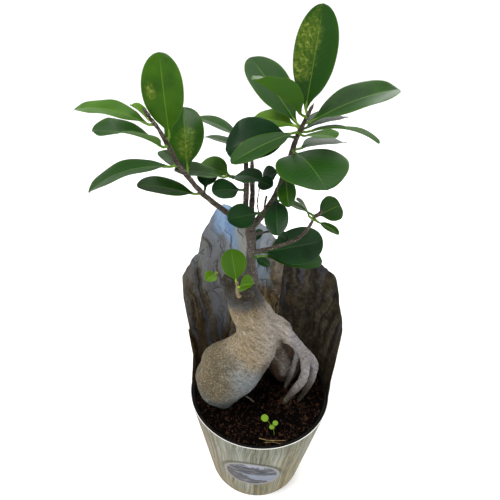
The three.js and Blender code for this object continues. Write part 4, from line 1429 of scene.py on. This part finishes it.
# Where fine roots leave the wood, in mm: x, y, how many, reach
ROOTED = ((27, -16, 9, 13), (20, -17, 8, 11), (22, -5, 7, 10), (-24, -14, 4, 12))


def strewn(surface):
    """Crumbs and fine and stout fibres of peat, as meshes scattered over the soil's surface."""
    tree, names = crumb_tree()
    loose = [scattered(surface, tree, names, {"Density": 95000.0, "Size": 0.8 * MM, "Seed": 4})]
    loose.append(scattered(surface, tree, names, {"Density": 8000.0, "Size": 1.5 * MM, "Seed": 9}))
    tree, names = fibre_tree()
    fine = {"Density": 13000.0, "Thickness": 0.13 * MM}
    for seed, reach, bend in ((1, 3.5, 2.5), (2, 6.5, -4.0), (6, 2.5, 0.6)):
        run = {"Reach": (reach * MM, 0, 0.3 * MM), "Bend": (0, bend * MM, 1.6 * MM), "Seed": seed}
        loose.append(scattered(surface, tree, names, {**fine, **run}))
    stout = {"Density": 900.0, "Thickness": 0.25 * MM, "Seed": 5}
    run = {"Reach": (3.2 * MM, 0, 0.2 * MM), "Bend": (0, 0.8 * MM, 1.2 * MM)}
    loose.append(scattered(surface, tree, names, {**stout, **run}))
    return loose


def lying_bits(top):
    """Fine roots, straws and rootlets that lie on soil of height top(x, y)."""
    bits = Collector()
    rng = random.Random(23)
    for u, v, count, reach in ROOTED:
        for _ in range(count):
            angle = rng.uniform(0, 2 * math.pi)
            heading = Vector((math.cos(angle), math.sin(angle)))
            far = reach * rng.uniform(0.6, 1.3)
            bend = Vector((-heading.y, heading.x)) * rng.uniform(-0.3, 0.3) * far
            path = []
            for t in (k / ROOT_STEPS for k in range(ROOT_STEPS + 1)):
                spot = Vector((u, v)) + heading * far * t + bend * math.sin(math.pi * t)
                rise = 2.4 * (1 - t) ** 2 + rng.uniform(-0.2, 0.5) - (0.8 if t > 0.95 else 0)
                x, y = spot.x * MM, spot.y * MM
                path.append(Vector((x, y, top(x, y) + rise * MM)))
            thick = rng.uniform(0.3, 0.6)
            radii = [thick * (1 - 0.1 * k) * MM for k in range(ROOT_STEPS + 1)]
            bits.add(*tube(path, radii, 6), FIBRE_SLOT)
    for path, thick, slot in LITTER:
        lying = [Vector((x * MM, y * MM, top(x * MM, y * MM) + h * MM)) for x, y, h in path]
        bits.add(*tube(lying, [thick * MM] * len(lying), 7), slot)
    return bits.mesh("soil_litter")


def make_soil():
    """The bed of soil, heaped round the wood and strewn with crumbs, fibres and loose bits."""
    points = corners("soil")
    low_z = points[:, 2].min()
    radii = np.hypot(points[:, 0], points[:, 1])
    outer = radii.max()
    edge_z = float(points[radii > outer - 0.2 * MM][:, 2].max())
    centre_z = float(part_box("soil")[1][2])
    foot = radius_at("soil", low_z - MM, low_z + MM)

    def top(x, y):
        r = min(math.hypot(x, y) / outer, 1)
        p = Vector((x, y, 0)) / MM
        lumps = noise.noise(p / 11) * 1.7 + noise.noise(p / 4) * 0.9 + noise.noise(p / 1.7) * 0.35
        heaped = 0
        for u, v, rise, reach in HEAPS:
            heaped += rise * math.exp(-((p.x - u) ** 2 + (p.y - v) ** 2) / reach**2)
        level = edge_z + (centre_z - edge_z) * (1 - r * r) + 2.2 * MM * r**8
        return level + (lumps + heaped) * MM * (1 - 0.6 * r**6) - 0.6 * MM

    rows = []
    for i in range(SOIL_RINGS):
        radius = (outer + 0.1 * MM) * (i + 0.02) / (SOIL_RINGS - 1 + 0.02)
        for k in range(SOIL_SECTORS):
            angle = 2 * math.pi * k / SOIL_SECTORS
            x, y = radius * math.cos(angle), radius * math.sin(angle)
            rows.append((x, y, top(x, y)))
    cap = grid_faces(SOIL_RINGS, SOIL_SECTORS, closed=True)
    cap.append(list(range(SOIL_SECTORS))[::-1])
    surface = mesh_of("soil_top", rows, cap)
    below = []
    for radius, height in ((outer - 0.6 * MM, edge_z - 4 * MM), (foot, low_z)):
        for k in range(SOIL_SECTORS):
            angle = 2 * math.pi * k / SOIL_SECTORS
            below.append((radius * math.cos(angle), radius * math.sin(angle), height))
    body = grid_faces(SOIL_RINGS + 2, SOIL_SECTORS, closed=True)
    body.append(list(range(SOIL_SECTORS))[::-1])
    last = (SOIL_RINGS + 1) * SOIL_SECTORS
    body.append([last + k for k in range(SOIL_SECTORS)])
    mesh = mesh_of("soil_bed", rows + below, body)
    faced_outwards(mesh)

    bed = new_object("soil_bed", mesh, *BED)
    gather = bmesh.new()
    gather.from_mesh(bed.data)
    for part in strewn(surface):
        before = len(gather.faces)
        gather.from_mesh(part)
        gather.faces.ensure_lookup_table()
        for face in gather.faces[before:]:
            face.material_index = FIBRE_SLOT
    gather.from_mesh(lying_bits(top))
    gather.to_mesh(bed.data)
    gather.free()
    piece(bed, "potting_soil", "soil")


make_soil()

# ---- Studio floor that sweeps up into a round wall ----
FLOOR_SIDES = 96
FLOOR = Shader("studio_floor")
floor_tone = FLOOR.noise(FLOOR.place(), 3, 2)
FLOOR.finish(
    Base_Color=FLOOR.mix(floor_tone, (0.86, 0.86, 0.86), (0.89, 0.89, 0.89)),
    Roughness=0.9,
    Specular_IOR_Level=0.1,
    Emission_Color=(1, 1, 1, 1),
    Emission_Strength=0.2,
)
sweep = [(0.02, 0), (1.0, 0), (2.0, 0)]
sweep += [(2.0 + math.sin(math.radians(a)), 1 - math.cos(math.radians(a))) for a in range(6, 91, 6)]
sweep += [(3.0, 2.6)]
floor_points, floor_faces = revolved(sweep, FLOOR_SIDES)
floor_faces.append(list(range(FLOOR_SIDES))[::-1])
floor = new_object("floor", mesh_of("floor", floor_points, floor_faces), FLOOR.material)
